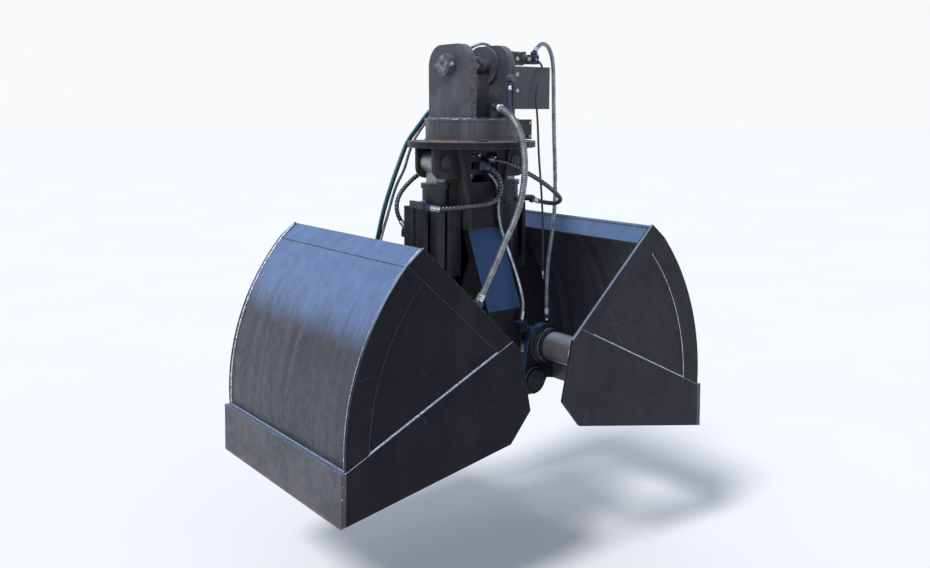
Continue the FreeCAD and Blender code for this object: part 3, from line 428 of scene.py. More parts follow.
def make_scratches():
    """Thin wandering lines: a narrow level of stretched noise, kept in patches."""
    tree, given, out = new_group("scratches", [("Stretch", VECTOR, (3, 3, 12)), ("Thin", FLOAT, 0.004),
                                               ("Amount", FLOAT, 0.5)], [("Mask", FLOAT)])
    place = object_place(tree)
    level = cloud(tree, squeezed(tree, place, given["Stretch"]), 1.7, 1.0, 0.4)
    away = calc(tree, "ABSOLUTE", calc(tree, "SUBTRACT", level, 0.5))
    ends = {"Value": away, "From Min": given["Thin"], "From Max": 0.0}
    thin = put(tree, "ShaderNodeMapRange", ends).outputs[0]
    patch = rise(tree, cloud(tree, place, 4.0, 4.0, 0.6), 0.52, 0.66)
    mask = times(tree, times(tree, thin, patch), given["Amount"], True)
    tree.links.new(mask, out["Mask"])
    return tree


def make_grain():
    """Paint and rolled plate grain, as a height."""
    tree, given, out = new_group("plate_grain", [("Fine", FLOAT, 900.0), ("Broad", FLOAT, 25.0)],
                                 [("Height", FLOAT)])
    place = object_place(tree)
    fine = times(tree, cloud(tree, place, given["Fine"], 2.0), 0.35)
    broad = times(tree, cloud(tree, place, given["Broad"], 5.0, 0.6), 0.65)
    tree.links.new(calc(tree, "ADD", fine, broad), out["Height"])
    return tree


def make_winding():
    """Place within one turn of a wound hose, and a mask of its grooves, from the hose's own map."""
    tree, given, out = new_group("winding", [("Pitch", FLOAT, 0.006), ("Groove", FLOAT, 0.3)],
                                 [("Groove", FLOAT), ("Turn", FLOAT)])
    own = put(tree, "ShaderNodeUVMap", uv_map="along").outputs[0]
    parts = put(tree, "ShaderNodeSeparateXYZ", {0: own})
    wraps = calc(tree, "DIVIDE", parts.outputs["Y"], given["Pitch"])
    turn = calc(tree, "FRACT", calc(tree, "SUBTRACT", wraps, parts.outputs["X"]))
    away = calc(tree, "ABSOLUTE", calc(tree, "SUBTRACT", turn, 0.5))
    edge = calc(tree, "SUBTRACT", 0.5, away)
    tree.links.new(rise(tree, edge, given["Groove"], 0.0), out["Groove"])
    tree.links.new(turn, out["Turn"])
    return tree


edge_wear = make_edge_wear()
upward_dust_and_sheen = make_upward_dust_and_sheen()
streaks = make_streaks()
scratches = make_scratches()
plate_grain = make_grain()
winding = make_winding()


# ================================================================ finishes
def new_look(name):
    look = bpy.data.materials.new(name)
    look.use_nodes = True
    return look, look.node_tree, object_place(look.node_tree)


def join_up(look, colour, roughness, metal, height, strength, distance, gloss=0.5):
    """Leads what changes over the surface to the look's shader, the height through a bump."""
    tree = look.node_tree
    shader = tree.nodes["Principled BSDF"]
    relief = put(tree, "ShaderNodeBump", {"Strength": strength, "Distance": distance, "Height": height})
    for socket, value in (("Base Color", colour), ("Roughness", roughness), ("Metallic", metal),
                          ("Normal", relief.outputs[0])):
        tree.links.new(value, shader.inputs[socket])
    shader.inputs["Specular IOR Level"].default_value = gloss
    return look


def painted(name, dark, light, dust_and_sheen, dust_and_sheen_range=(0.30, 0.62), dust_and_sheen_breakup=0.12, worn=(0.16, 0.18, 0.21, 1),
            wear=0.5, wear_width=0.004, dust=(0.10, 0.095, 0.09, 1), dust_amount=0.25, runs=(6, 6, 0.7),
            runs_amount=0.35, rough=0.48, gloss=0.3, bump=0.12, scuff=0.35, more=None):
    """Painted steel: clouded colour, runs, dust in patches, dust and painted sky reflection on upward faces,
    rubbed edges, scratches.
    """
    look, tree, place = new_look(name)
    tone = cloud(tree, place, 5.0, 6.0, 0.62)
    colour = blend(tree, rise(tree, tone, 0.32, 0.68), dark, light)
    run = use(tree, streaks, {"Stretch": runs, "Low": 0.48, "High": 0.66})["Mask"]
    colour = lay_over(tree, colour, run, runs_amount, dust)
    patch = rise(tree, cloud(tree, place, 17.0, 8.0, 0.7, 0.4), 0.5, 0.78)
    colour = lay_over(tree, colour, patch, dust_amount, dust)
    # Upward faces take the look's top colour: a painted sky reflection where that colour is blue, dust where
    # it is grey.
    dust_and_sheen_ends = {"Low": dust_and_sheen_range[0], "High": dust_and_sheen_range[1], "Breakup": dust_and_sheen_breakup}
    up = use(tree, upward_dust_and_sheen, dust_and_sheen_ends)["Mask"]
    mottle = rise(tree, cloud(tree, place, 14.0, 6.0, 0.6), 0.25, 0.75, 0.72, 1.0)
    colour = lay_over(tree, colour, up, mottle, dust_and_sheen)
    scratch = use(tree, scratches, {"Stretch": (4, 9, 4), "Thin": 0.0035, "Amount": scuff})["Mask"]
    colour = blend(tree, scratch, colour, worn)
    edge = use(tree, edge_wear, {"Width": wear_width, "Breakup": 45.0, "Amount": wear})["Mask"]
    colour = blend(tree, edge, colour, worn)
    roughness = rise(tree, cloud(tree, place, 30.0, 5.0, 0.6), 0.3, 0.7, rough - 0.08, rough + 0.10)
    metal = times(tree, edge, 0.6)
    height = use(tree, plate_grain)["Height"]
    if more:
        colour, roughness, metal, height = more(tree, place, colour, roughness, metal, height)
    return join_up(look, colour, roughness, metal, height, bump, 0.001, gloss)


def metal_look(name, dark, light, rough=0.32, metallic=1.0, scale=60.0, bump=0.15, stretch=(1, 1, 1),
               grime=0.4, grime_colour=(0.02, 0.02, 0.024, 1)):
    """Bare or plated steel with turning marks and grime in patches."""
    look, tree, place = new_look(name)
    along = stretched(tree, place, stretch)
    colour = blend(tree, rise(tree, cloud(tree, along, scale, 5.0, 0.6), 0.3, 0.7), dark, light)
    dirt = rise(tree, cloud(tree, place, scale * 0.45, 7.0, 0.7, 0.5), 0.48, 0.68)
    dirt = times(tree, dirt, grime)
    colour = blend(tree, dirt, colour, grime_colour)
    metal = calc(tree, "SUBTRACT", metallic, times(tree, dirt, metallic * 0.8))
    roughness = rise(tree, cloud(tree, along, scale * 1.7, 4.0), 0.3, 0.7, rough - 0.07, rough + 0.14)
    height = use(tree, plate_grain, {"Fine": 1400.0, "Broad": 90.0})["Height"]
    return join_up(look, colour, roughness, metal, height, bump, 0.0006)


def line_mask(tree, place, letter, at, width, wander=0.002, soft=0.5):
    """A straight line on a plate, at one place along an axis, slightly wandering."""
    axis = along_axis(tree, place, letter)
    drift = times(tree, calc(tree, "SUBTRACT", cloud(tree, place, 6.0, 2.0), 0.5), wander * 4)
    away = calc(tree, "ABSOLUTE", calc(tree, "SUBTRACT", calc(tree, "ADD", axis, drift), at))
    return rise(tree, away, width, width * soft * 0.5)


def shell_marks(tree, place, colour, roughness, metal, height):
    """Long marks down the curved plate: two thin parallel scratches, rubbed chalk, dark run bands."""
    level = along_axis(tree, place, "Z")
    below = rise(tree, level, 0.80, 0.66)
    long_runs = use(tree, streaks, {"Stretch": (0.5, 22, 0.5), "Low": 0.44, "High": 0.62})["Mask"]
    colour = lay_over(tree, colour, times(tree, long_runs, below), 0.55, (0.052, 0.060, 0.080, 1))
    fine_runs = use(tree, streaks, {"Stretch": (0.7, 75, 0.7), "Low": 0.50, "High": 0.64})["Mask"]
    colour = lay_over(tree, colour, times(tree, fine_runs, below), 0.45, (0.018, 0.019, 0.024, 1))
    for at, strength in ((-0.045, 0.55), (-0.028, 0.45), (0.13, 0.30)):
        mark = line_mask(tree, place, "Y", at, 0.0016, 0.0015)
        broken = rise(tree, cloud(tree, stretched(tree, place, (1, 1, 5)), 9.0, 4.0, 0.7), 0.42, 0.6)
        colour = lay_over(tree, colour, times(tree, mark, broken), strength, (0.30, 0.33, 0.38, 1))
    smudge = rise(tree, cloud(tree, stretched(tree, place, (6, 14, 9)), 1.4, 8.0, 0.75, 1.2), 0.66, 0.80)
    colour = lay_over(tree, colour, smudge, 0.35, (0.20, 0.22, 0.25, 1))
    return colour, roughness, metal, height


def lip_marks(tree, place, colour, roughness, metal, height):
    """Rust along the cutting edge and in dots near the ends, pale scuffs on the lower half."""
    parts = put(tree, "ShaderNodeSeparateXYZ", {0: place})
    low = rise(tree, parts.outputs["Z"], 0.012, 0.001)
    rusty = times(tree, low, rise(tree, cloud(tree, place, 26.0, 6.0, 0.7), 0.40, 0.58))
    colour = lay_over(tree, colour, rusty, 0.8, (0.34, 0.15, 0.055, 1))
    end = rise(tree, calc(tree, "ABSOLUTE", parts.outputs["Y"]), 0.4985, 0.4999)
    spots = rise(tree, cloud(tree, place, 62.0, 2.0, 0.4), 0.66, 0.71)
    colour = lay_over(tree, colour, times(tree, end, spots), 0.9, (0.52, 0.22, 0.05, 1))
    scuffed = rise(tree, cloud(tree, stretched(tree, place, (8, 5, 14)), 1.6, 8.0, 0.72, 0.8), 0.50, 0.72)
    colour = lay_over(tree, colour, scuffed, 0.5, (0.11, 0.115, 0.12, 1))
    return colour, roughness, metal, height


def drum_marks(tree, place, colour, roughness, metal, height):
    """A rust and dust line at the foot of the drum, and weathered upright bands."""
    parts = put(tree, "ShaderNodeSeparateXYZ", {0: place})
    foot = rise(tree, parts.outputs["Z"], 1.3030, 1.2985)
    patchy = rise(tree, cloud(tree, place, 11.0, 4.0, 0.6), 0.36, 0.55)
    colour = lay_over(tree, colour, foot, patchy, (0.50, 0.27, 0.16, 1))
    bands = rise(tree, cloud(tree, stretched(tree, place, (9, 9, 0.5)), 1.8, 4.0, 0.6), 0.42, 0.62)
    colour = lay_over(tree, colour, bands, 0.45, (0.075, 0.08, 0.09, 1))
    deep = rise(tree, cloud(tree, stretched(tree, place, (14, 14, 0.8)), 1.3, 3.0, 0.5), 0.58, 0.68)
    colour = lay_over(tree, colour, deep, 0.75, (0.016, 0.015, 0.016, 1))
    return colour, roughness, metal, height


def ear_marks(tree, place, colour, roughness, metal, height):
    """Bluish blotches, a brown rough edge and small paint chips on the ears."""
    blue = rise(tree, cloud(tree, place, 8.0, 6.0, 0.65, 0.6), 0.48, 0.66)
    colour = lay_over(tree, colour, blue, 0.5, (0.085, 0.105, 0.135, 1))
    normal = put(tree, "ShaderNodeTexCoord").outputs["Normal"]
    side = calc(tree, "ABSOLUTE", along_axis(tree, normal, "X"))
    rim = rise(tree, side, 0.6, 0.2)
    crust = rise(tree, cloud(tree, place, 85.0, 6.0, 0.75), 0.42, 0.62)
    colour = lay_over(tree, colour, rim, times(tree, crust, 0.55), (0.17, 0.15, 0.125, 1))
    chips = rise(tree, cloud(tree, place, 38.0, 1.0, 0.3), 0.80, 0.82)
    colour = lay_over(tree, colour, chips, 0.8, (0.5, 0.53, 0.57, 1))
    height = calc(tree, "ADD", height, times(tree, times(tree, rim, crust), 1.5))
    return colour, roughness, metal, height


def tube_rings(tree, place, colour, roughness, metal, height):
    """The collar on the cross tube is bare steel, the rings beside it are black."""
    depth = calc(tree, "ABSOLUTE", along_axis(tree, place, "Y"))
    silver = times(tree, rise(tree, depth, 0.2815, 0.2822), rise(tree, depth, 0.3004, 0.2998))
    black = calc(tree, "SUBTRACT", rise(tree, depth, 0.3215, 0.3205), silver, True)
    colour = blend(tree, black, colour, (0.012, 0.013, 0.018, 1))
    brushed = rise(tree, cloud(tree, stretched(tree, place, (1, 30, 1)), 14.0, 4.0), 0.3, 0.7)
    bright = blend(tree, brushed, (0.30, 0.31, 0.33, 1), (0.66, 0.68, 0.70, 1))
    colour = blend(tree, silver, colour, bright)
    metal = calc(tree, "MAXIMUM", metal, silver)
    roughness = calc(tree, "SUBTRACT", roughness, times(tree, silver, 0.16), True)
    return colour, roughness, metal, height


def barrel_rims(tree, place, colour, roughness, metal, height):
    """Bare steel on the eye and on the rims of the cap and of the gland."""
    level = along_axis(tree, place, "Z")
    eye = rise(tree, level, 1.1290, 1.1305)
    gland = rise(tree, level, 0.6100, 0.6085)
    bare = calc(tree, "MAXIMUM", eye, gland)
    rubbed = rise(tree, cloud(tree, place, 38.0, 7.0, 0.7, 0.5), 0.36, 0.58, 0.35, 1.0)
    bare = times(tree, bare, rubbed)
    colour = blend(tree, bare, colour, (0.30, 0.32, 0.35, 1))
    metal = calc(tree, "MAXIMUM", metal, times(tree, bare, 0.85))
    return colour, roughness, metal, height


# Colours for upward faces: the two blues are painted sky reflection, the grey one is dust.
painted_sky_sheen = (0.115, 0.19, 0.37, 1)
painted_deep_sky_sheen = (0.018, 0.048, 0.125, 1)
film_dust = (0.17, 0.175, 0.19, 1)
black_paint = grey(0.0040, 2.0)
black_paint_light = grey(0.0075, 1.8)

# The fourth colour of each paint goes on its upward faces: the blues of the side plates, shell, lip, cross
# strip, cross tube, frame and drive iron are painted sky reflection; the greys of the drum and ears are dust.
left_side_look = painted("left_side_paint", grey(0.0048, 1.7), grey(0.0085, 1.6), (0.20, 0.26, 0.36, 1),
                         dust_and_sheen_range=(0.35, 0.60), runs_amount=0.05, dust_amount=0.04, gloss=0.13, rough=0.50)
right_side_look = painted("right_side_paint", grey(0.0105, 1.4), grey(0.018, 1.35), (0.20, 0.26, 0.36, 1),
                          dust_and_sheen_range=(0.35, 0.60), dust=(0.05, 0.043, 0.038, 1), runs_amount=0.14,
                          dust_amount=0.12, gloss=0.2, rough=0.50)
shell_look = painted("shell_paint", grey(0.015, 1.5), grey(0.028, 1.45), painted_sky_sheen, dust_and_sheen_range=(0.36, 0.50),
                     dust_and_sheen_breakup=0.10, runs=(0.6, 16, 0.6), runs_amount=0.25, dust_amount=0.2, gloss=0.45,
                     rough=0.40, more=shell_marks)
lip_look = painted("lip_paint", grey(0.034, 1.25), grey(0.066, 1.15), (0.13, 0.19, 0.31, 1), runs_amount=0.15,
                   dust_amount=0.25, gloss=0.4, rough=0.44, wear=0.8, more=lip_marks)
strip_look = painted("strip_paint", grey(0.012, 1.4), grey(0.020, 1.3), (0.10, 0.165, 0.30, 1),
                     dust_and_sheen_range=(0.2, 0.5), dust_amount=0.3, rough=0.42, gloss=0.4, wear=0.8)
tube_look = painted("tube_paint", grey(0.060, 1.05), grey(0.095, 1.05), (0.20, 0.23, 0.28, 1),
                    dust_and_sheen_range=(0.45, 0.95), runs_amount=0.1, dust_amount=0.35, rough=0.38, gloss=0.5,
                    more=tube_rings)
frame_look = painted("frame_paint", black_paint, black_paint_light, painted_deep_sky_sheen, dust_and_sheen_range=(0.02, 0.22),
                     dust_and_sheen_breakup=0.05, dust=(0.028, 0.029, 0.034, 1), dust_amount=0.25, runs_amount=0.12,
                     gloss=0.22, wear=0.45)
wall_look = painted("wall_paint", grey(0.016, 1.05), grey(0.030, 1.0), film_dust, dust_and_sheen_range=(0.5, 0.8),
                    dust=(0.07, 0.062, 0.055, 1), dust_amount=0.5, runs_amount=0.3, gloss=0.2, rough=0.6,
                    bump=0.25)
flange_look = painted("flange_paint", grey(0.0045, 1.7), grey(0.009, 1.5), film_dust, dust_and_sheen_range=(0.5, 0.8),
                      dust=(0.05, 0.048, 0.05, 1), dust_amount=0.3, runs_amount=0.05, gloss=0.2, wear=0.7)
guard_look = painted("guard_paint", grey(0.006, 1.5), grey(0.011, 1.4), film_dust, runs=(14, 14, 0.4),
                     runs_amount=0.15, dust_amount=0.1, gloss=0.22, wear=0.55)
barrel_look = painted("barrel_paint", grey(0.005, 1.6), grey(0.009, 1.5), film_dust, runs=(16, 16, 0.3),
                      dust=(0.04, 0.038, 0.038, 1), runs_amount=0.25, dust_amount=0.10, gloss=0.4, rough=0.34,
                      more=barrel_rims)
drum_look = painted("drum_paint", grey(0.020, 1.3), grey(0.036, 1.28), (0.22, 0.22, 0.235, 1),
                    dust_and_sheen_range=(0.5, 0.9), dust=(0.085, 0.09, 0.10, 1), runs=(9, 9, 0.6), runs_amount=0.4,
                    dust_amount=0.45, gloss=0.45, rough=0.42, wear=0.8, more=drum_marks)
ear_look = painted("ear_paint", grey(0.034, 1.3), grey(0.052, 1.28), (0.15, 0.16, 0.18, 1),
                   dust_and_sheen_range=(0.3, 0.8), dust=(0.14, 0.145, 0.15, 1), runs_amount=0.25, dust_amount=0.4,
                   gloss=0.4, rough=0.5, wear=0.7, more=ear_marks)
shield_look = painted("shield_paint", grey(0.052, 1.22), grey(0.066, 1.2), film_dust, dust_amount=0.15,
                      dust=(0.10, 0.095, 0.11, 1), runs_amount=0.15, gloss=0.35, rough=0.42, wear=0.5)
iron_look = painted("drive_iron", grey(0.010, 1.6), grey(0.022, 1.5), (0.10, 0.12, 0.15, 1),
                    dust_and_sheen_range=(0.4, 0.8), dust=(0.09, 0.09, 0.09, 1), dust_amount=0.45, runs_amount=0.1,
                    gloss=0.45, rough=0.42, bump=0.4, wear=0.8)
pin_look = metal_look("greasy_pin_steel", (0.05, 0.05, 0.055, 1), (0.30, 0.30, 0.31, 1), 0.36, 0.9, 42.0,
                      grime=0.75)
pivot_look = metal_look("pivot_pin_steel", (0.012, 0.013, 0.016, 1), (0.035, 0.038, 0.045, 1), 0.42, 0.4,
                        35.0, grime=0.5)
chrome_look = metal_look("rod_chrome", (0.50, 0.51, 0.53, 1), (0.62, 0.63, 0.65, 1), 0.16, 1.0, 18.0, 0.05,
                         (4, 4, 60), 0.12)
weld_look = metal_look("jaw_weld", (0.20, 0.22, 0.27, 1), (0.85, 0.88, 0.94, 1), 0.34, 0.7, 190.0, 0.5,
                       grime=0.45, grime_colour=(0.012, 0.013, 0.018, 1))
dark_weld_look = metal_look("painted_weld", (0.012, 0.014, 0.020, 1), (0.05, 0.055, 0.07, 1), 0.42, 0.2,
                            120.0, 0.5, grime=0.4)
head_weld_look = metal_look("head_weld", (0.10, 0.10, 0.105, 1), (0.46, 0.47, 0.49, 1), 0.42, 0.55, 110.0,
                            0.5, grime=0.45, grime_colour=(0.05, 0.045, 0.042, 1))
seam_look = metal_look("root_seam", (0.008, 0.007, 0.006, 1), (0.16, 0.125, 0.085, 1), 0.6, 0.1, 85.0, 0.5,
                       grime=0.85, grime_colour=(0.010, 0.008, 0.008, 1))
bolt_look = metal_look("zinc_bolt", (0.22, 0.23, 0.25, 1), (0.55, 0.57, 0.60, 1), 0.30, 0.95, 120.0,
                       grime=0.5)
ferrule_look = metal_look("plated_ferrule", (0.45, 0.47, 0.50, 1), (0.80, 0.82, 0.84, 1), 0.28, 0.9, 90.0,
                          grime=0.25)
blue_fitting_look = metal_look("blued_fitting", (0.012, 0.022, 0.050, 1), (0.055, 0.095, 0.17, 1), 0.26, 0.55,
                               60.0, grime=0.35)
yellow_look = metal_look("yellow_cap", (0.50, 0.27, 0.01, 1), (0.72, 0.42, 0.02, 1), 0.42, 0.0, 60.0,
                         grime=0.2)


def hose_look(name, pitch, crest, low, groove, rough, metallic, flecks=(0.02, 0.03, 0.05, 1),
              fleck_amount=0.3, groove_width=0.3, stripe_and_highlight_bands=(), gloss=0.5):
    """Wound or covered hose: crests, painted shade in the darker grooves, flecks of dirt, and stripes and
    painted highlights along it if it has them.
    """
    look, tree, place = new_look(name)
    wound = use(tree, winding, {"Pitch": pitch, "Groove": groove_width})
    colour = blend(tree, rise(tree, cloud(tree, place, 28.0, 5.0, 0.6), 0.3, 0.7), crest, low)
    fleck = times(tree, rise(tree, cloud(tree, place, 55.0, 6.0, 0.7), 0.5, 0.66), fleck_amount)
    colour = blend(tree, fleck, colour, flecks)
    round_it = along_axis(tree, put(tree, "ShaderNodeUVMap", uv_map="along").outputs[0], "X")
    # Bands along the hose at set places round it: stripes, and painted highlights, as each look gives them.
    for start, end, paint in stripe_and_highlight_bands:
        past_start = rise(tree, round_it, start, start + 0.02)
        before_end = rise(tree, round_it, end, end - 0.02)
        colour = lay_over(tree, colour, past_start, before_end, paint)
    # The grooves between the turns get a darker colour: painted shade, and on the steel guard also the dark
    # hose under it.
    colour = blend(tree, wound["Groove"], colour, groove)
    metal = times(tree, calc(tree, "SUBTRACT", 1.0, wound["Groove"]), metallic)
    roughness = rise(tree, cloud(tree, place, 70.0, 4.0), 0.3, 0.7, rough - 0.06, rough + 0.1)
    height = calc(tree, "SUBTRACT", cloud(tree, place, 700.0, 3.0), wound["Groove"])
    return join_up(look, colour, roughness, metal, height, 0.25, 0.0006, gloss)


guarded_look = hose_look("silver_spiral_guard", 0.0068, (0.46, 0.45, 0.44, 1), (0.22, 0.225, 0.24, 1),
                         (0.008, 0.010, 0.016, 1), 0.33, 0.8, groove_width=0.36)
braided_look = hose_look("braided_steel", 0.0085, (0.47, 0.50, 0.53, 1), (0.20, 0.225, 0.26, 1),
                         (0.035, 0.05, 0.085, 1), 0.38, 0.7, fleck_amount=0.55, groove_width=0.34)
loop_look = hose_look("loop_braid", 0.006, (0.40, 0.44, 0.48, 1), (0.13, 0.155, 0.19, 1),
                      (0.02, 0.03, 0.05, 1), 0.36, 0.6, fleck_amount=0.5, groove_width=0.3)
wrapped_look = hose_look("black_spiral_wrap", 0.0150, (0.070, 0.074, 0.088, 1), (0.022, 0.024, 0.032, 1),
                         (0.002, 0.002, 0.003, 1), 0.24, 0.25, flecks=(0.16, 0.17, 0.19, 1),
                         fleck_amount=0.12, groove_width=0.30, gloss=1.0)
thin_look = hose_look("plain_rubber", 0.020, (0.010, 0.011, 0.014, 1), (0.018, 0.020, 0.026, 1),
                      (0.008, 0.008, 0.010, 1), 0.42, 0.0, groove_width=0.02)
# The teal band is a stripe on the hose; the pale band beside it is a painted highlight along it.
teal_look = hose_look("teal_striped_rubber_with_painted_highlight", 0.020, (0.012, 0.012, 0.014, 1), (0.022, 0.022, 0.026, 1),
                      (0.010, 0.010, 0.012, 1), 0.40, 0.0, groove_width=0.02,
                      stripe_and_highlight_bands=((0.30, 0.50, (0.02, 0.36, 0.44, 1)), (0.56, 0.72, (0.62, 0.63, 0.62, 1))))
steel_line_look = hose_look("thin_steel_line", 0.004, (0.50, 0.53, 0.56, 1), (0.22, 0.25, 0.29, 1),
                            (0.08, 0.09, 0.11, 1), 0.30, 0.75, fleck_amount=0.45, groove_width=0.3)
link_look = hose_look("dark_blue_hose", 0.010, (0.030, 0.050, 0.11, 1), (0.012, 0.020, 0.05, 1),
                      (0.01, 0.012, 0.03, 1), 0.34, 0.0, groove_width=0.05)


# ================================================================ hoses
# corner points of each hose's line, mm
routes = {
    "hose_guarded": [
        (30, -118, 1435), (5.5, -198.2, 1429.5), (3.7, -272.2, 1390), (11.7, -315.6, 1319.2),
        (18, -326.7, 1235.3), (10, -334.9, 1151.4), (-9, -339, 1069.6), (-42, -339, 991.4),
        (-85.5, -335.4, 914.7), (-120.4, -328.5, 837.6), (-154.8, -318.4, 760.5), (-190, -305.8, 684.2)],
    "hose_right": [
        (268, -77, 1650), (310.3, -63, 1699.1), (372.8, -41.3, 1702.4), (419.9, -23.6, 1659.6),
        (432.7, -20, 1593.6), (435.5, -20.1, 1525.8), (437.6, -20, 1458), (439.8, -20, 1390.2),
        (442.6, -20, 1322.4), (446.4, -20.2, 1254.7), (451, -20, 1187), (455, -19.4, 1119.2),
        (455.9, -19.4, 1051.4), (451.5, -21.6, 983.8), (442.1, -25.8, 916.7), (428.3, -31.2, 850.6),
        (411.2, -37.9, 785.2), (396.6, -46.3, 719.5), (385.3, -55.3, 653.2), (376.7, -63.8, 586.5),
        (373.5, -70, 519.1)],
    "hose_thin": [
        (262, -95, 1633), (257.9, -157.1, 1608.9), (224.7, -169, 1551.1), (204.5, -168, 1485.9),
        (211.3, -171.4, 1416.4), (213.3, -176.4, 1346.8), (215.7, -177.9, 1277), (224.9, -174, 1207.9),
        (236.6, -170, 1139.4), (245.6, -168, 1070.2), (251.2, -168.6, 1000.6), (254.4, -169.5, 930.8),
        (256.2, -169, 860.9), (257.7, -168, 791), (261.3, -166, 721.3)],
    "hose_teal": [
        (-20, 165, 1462), (-90.2, 165.3, 1428.8), (-131, 193, 1361.2), (-164, 239, 1291.6),
        (-197.6, 239, 1220.2), (-236, 233, 1145.1), (-268, 234, 1066.9), (-294, 238, 987.2),
        (-306.7, 251.1, 906.4), (-323.6, 259.5, 825), (-349.7, 242.7, 748.6), (-386.9, 190, 696.5)],
    "hose_silver": [
        (-20, 165, 1425), (-76.2, 185, 1403.3), (-101.2, 221, 1348.7), (-124, 256, 1290.1),
        (-150, 254, 1230.6), (-177, 243, 1171.9), (-218, 243, 1110.5), (-243, 243, 1047.8),
        (-264, 243, 983.5), (-288, 245, 917.8), (-309, 246, 851.6), (-330, 240, 786.2)],
    "hose_head_loop": [
        (10, 165, 1478), (8.5, 165.7, 1521.1), (8.6, 163.6, 1564.2), (14.1, 155.1, 1606),
        (29.8, 135.9, 1640.8), (52.9, 109.2, 1665.5), (76.1, 82.7, 1690.4), (108, 57.1, 1701.3),
        (140.4, 38.7, 1682.2), (156.8, 33.1, 1643.5), (153.4, 37.8, 1600.9), (152.4, 42.9, 1558.1),
        (154.9, 48, 1515.3), (157.2, 54.6, 1472.7), (158.2, 60.7, 1430), (160, 60, 1387)],
    "hose_head_link": [
        (77, -157, 1532), (73.2, -160.8, 1496), (72, -162, 1459.7), (72, -161.2, 1423.3), (73, -159, 1387)],
    "hose_left_port": [
        (-12, -104, 1196), (31, -114, 1178), (58, -121, 1140), (58.5, -127, 1093), (31, -133, 1056.6),
        (-12.3, -138.3, 1041.4), (-61, -135.9, 1038.5), (-109.5, -130.1, 1036), (-157.4, -120.1, 1033.4),
        (-203.7, -104.7, 1031.1), (-247, -84, 1032.7), (-283, -64.5, 1040)],
    "hose_right_port": [
        (31, -69, 1222), (40, -113, 1221), (70, -148, 1211), (110.6, -167.5, 1190.5),
        (150.8, -182.1, 1166.8), (190.5, -195.2, 1143.8), (229.8, -205.1, 1118.7), (269.2, -208.9, 1092),
        (308.9, -202.3, 1066.7), (344.8, -180.1, 1045.1), (364.2, -141.3, 1026.9), (355.9, -95.5, 1021.2),
        (325.6, -60.4, 1029.2), (283, -48, 1045)],
    "hose_left_rear": [
        (-24.5, 70.5, 1186), (-42, 106, 1185.1), (-75, 131.3, 1181.9), (-117, 140.7, 1174.9),
        (-158.9, 141.8, 1162), (-196.8, 143.7, 1140.4), (-230.1, 147.2, 1112.2), (-260.7, 149.3, 1080.8),
        (-279.3, 149.9, 1041.5), (-278.3, 149.7, 998.3), (-258.5, 148, 959.5), (-235, 138, 925)],
    "hose_leg": [
        (34, -66, 1166), (50, -102, 1139), (68, -103, 1074), (62.1, -102.5, 1011.3), (68.7, -106, 949.9),
        (82.6, -119.5, 891), (86.7, -148.2, 835.9), (86.7, -180, 782.7), (83.5, -212.8, 730.2),
        (78.4, -243.5, 676.6), (75.2, -261.6, 617.8), (66.4, -258, 556.9)],
}


def rounded_rib(depth):
    return lambda turn: 1 - depth + depth * math.sin(math.pi * turn) ** 0.55


def flat_rib(depth):
    return lambda turn: 1 - depth * max(0.0, 1 - min(turn, 1 - turn) / 0.26) ** 1.5


neck_share = 0.74


def wound_tube(name, line, diameter, pitch, rib, sides, steps, neck=0.0):
    """A hose with a helical winding in its surface.

    neck is the length of a thinner start, under its fitting.
    """
    points, length = resample(line, pitch * MM / steps)
    radius = diameter * MM / 2
    final = len(points) - 1
    ways = [(points[min(i + 1, final)] - points[max(i - 1, 0)]).normalized() for i in range(final + 1)]
    side = ways[0].orthogonal().normalized()
    step = length / final
    corners = []
    for i, (at, way) in enumerate(zip(points, ways)):
        side = (side - way * side.dot(way)).normalized()
        other = way.cross(side)
        run = i * step / MM
        base = radius * (neck_share if run < neck else 1.0)
        for j in range(sides):
            angle = TURN * j / sides
            grow = rib((run / pitch - j / sides) % 1.0)
            corners.append(at + (side * math.cos(angle) + other * math.sin(angle)) * base * grow)
    faces = []
    maps = []
    for i in range(final):
        for j in range(sides):
            k = (j + 1) % sides
            faces.append((i * sides + j, i * sides + k, (i + 1) * sides + k, (i + 1) * sides + j))
            low, high = i * step, (i + 1) * step
            maps += [(j / sides, low), ((j + 1) / sides, low), ((j + 1) / sides, high), (j / sides, high)]
    last = final * sides
    faces.append(tuple(reversed(range(sides))))
    faces.append(tuple(last + j for j in range(sides)))
    maps += [(0.5, 0.0)] * sides + [(0.5, length)] * sides
    mesh = bpy.data.meshes.new(name)
    mesh.from_pydata(corners, [], faces)
    layer = mesh.uv_layers.new(name="along")
    for loop, place in zip(layer.data, maps):
        loop.uv = place
    piece = bpy.data.objects.new(name, mesh)
    bpy.context.collection.objects.link(piece)
    smooth(piece, 50)
    return piece, points, length


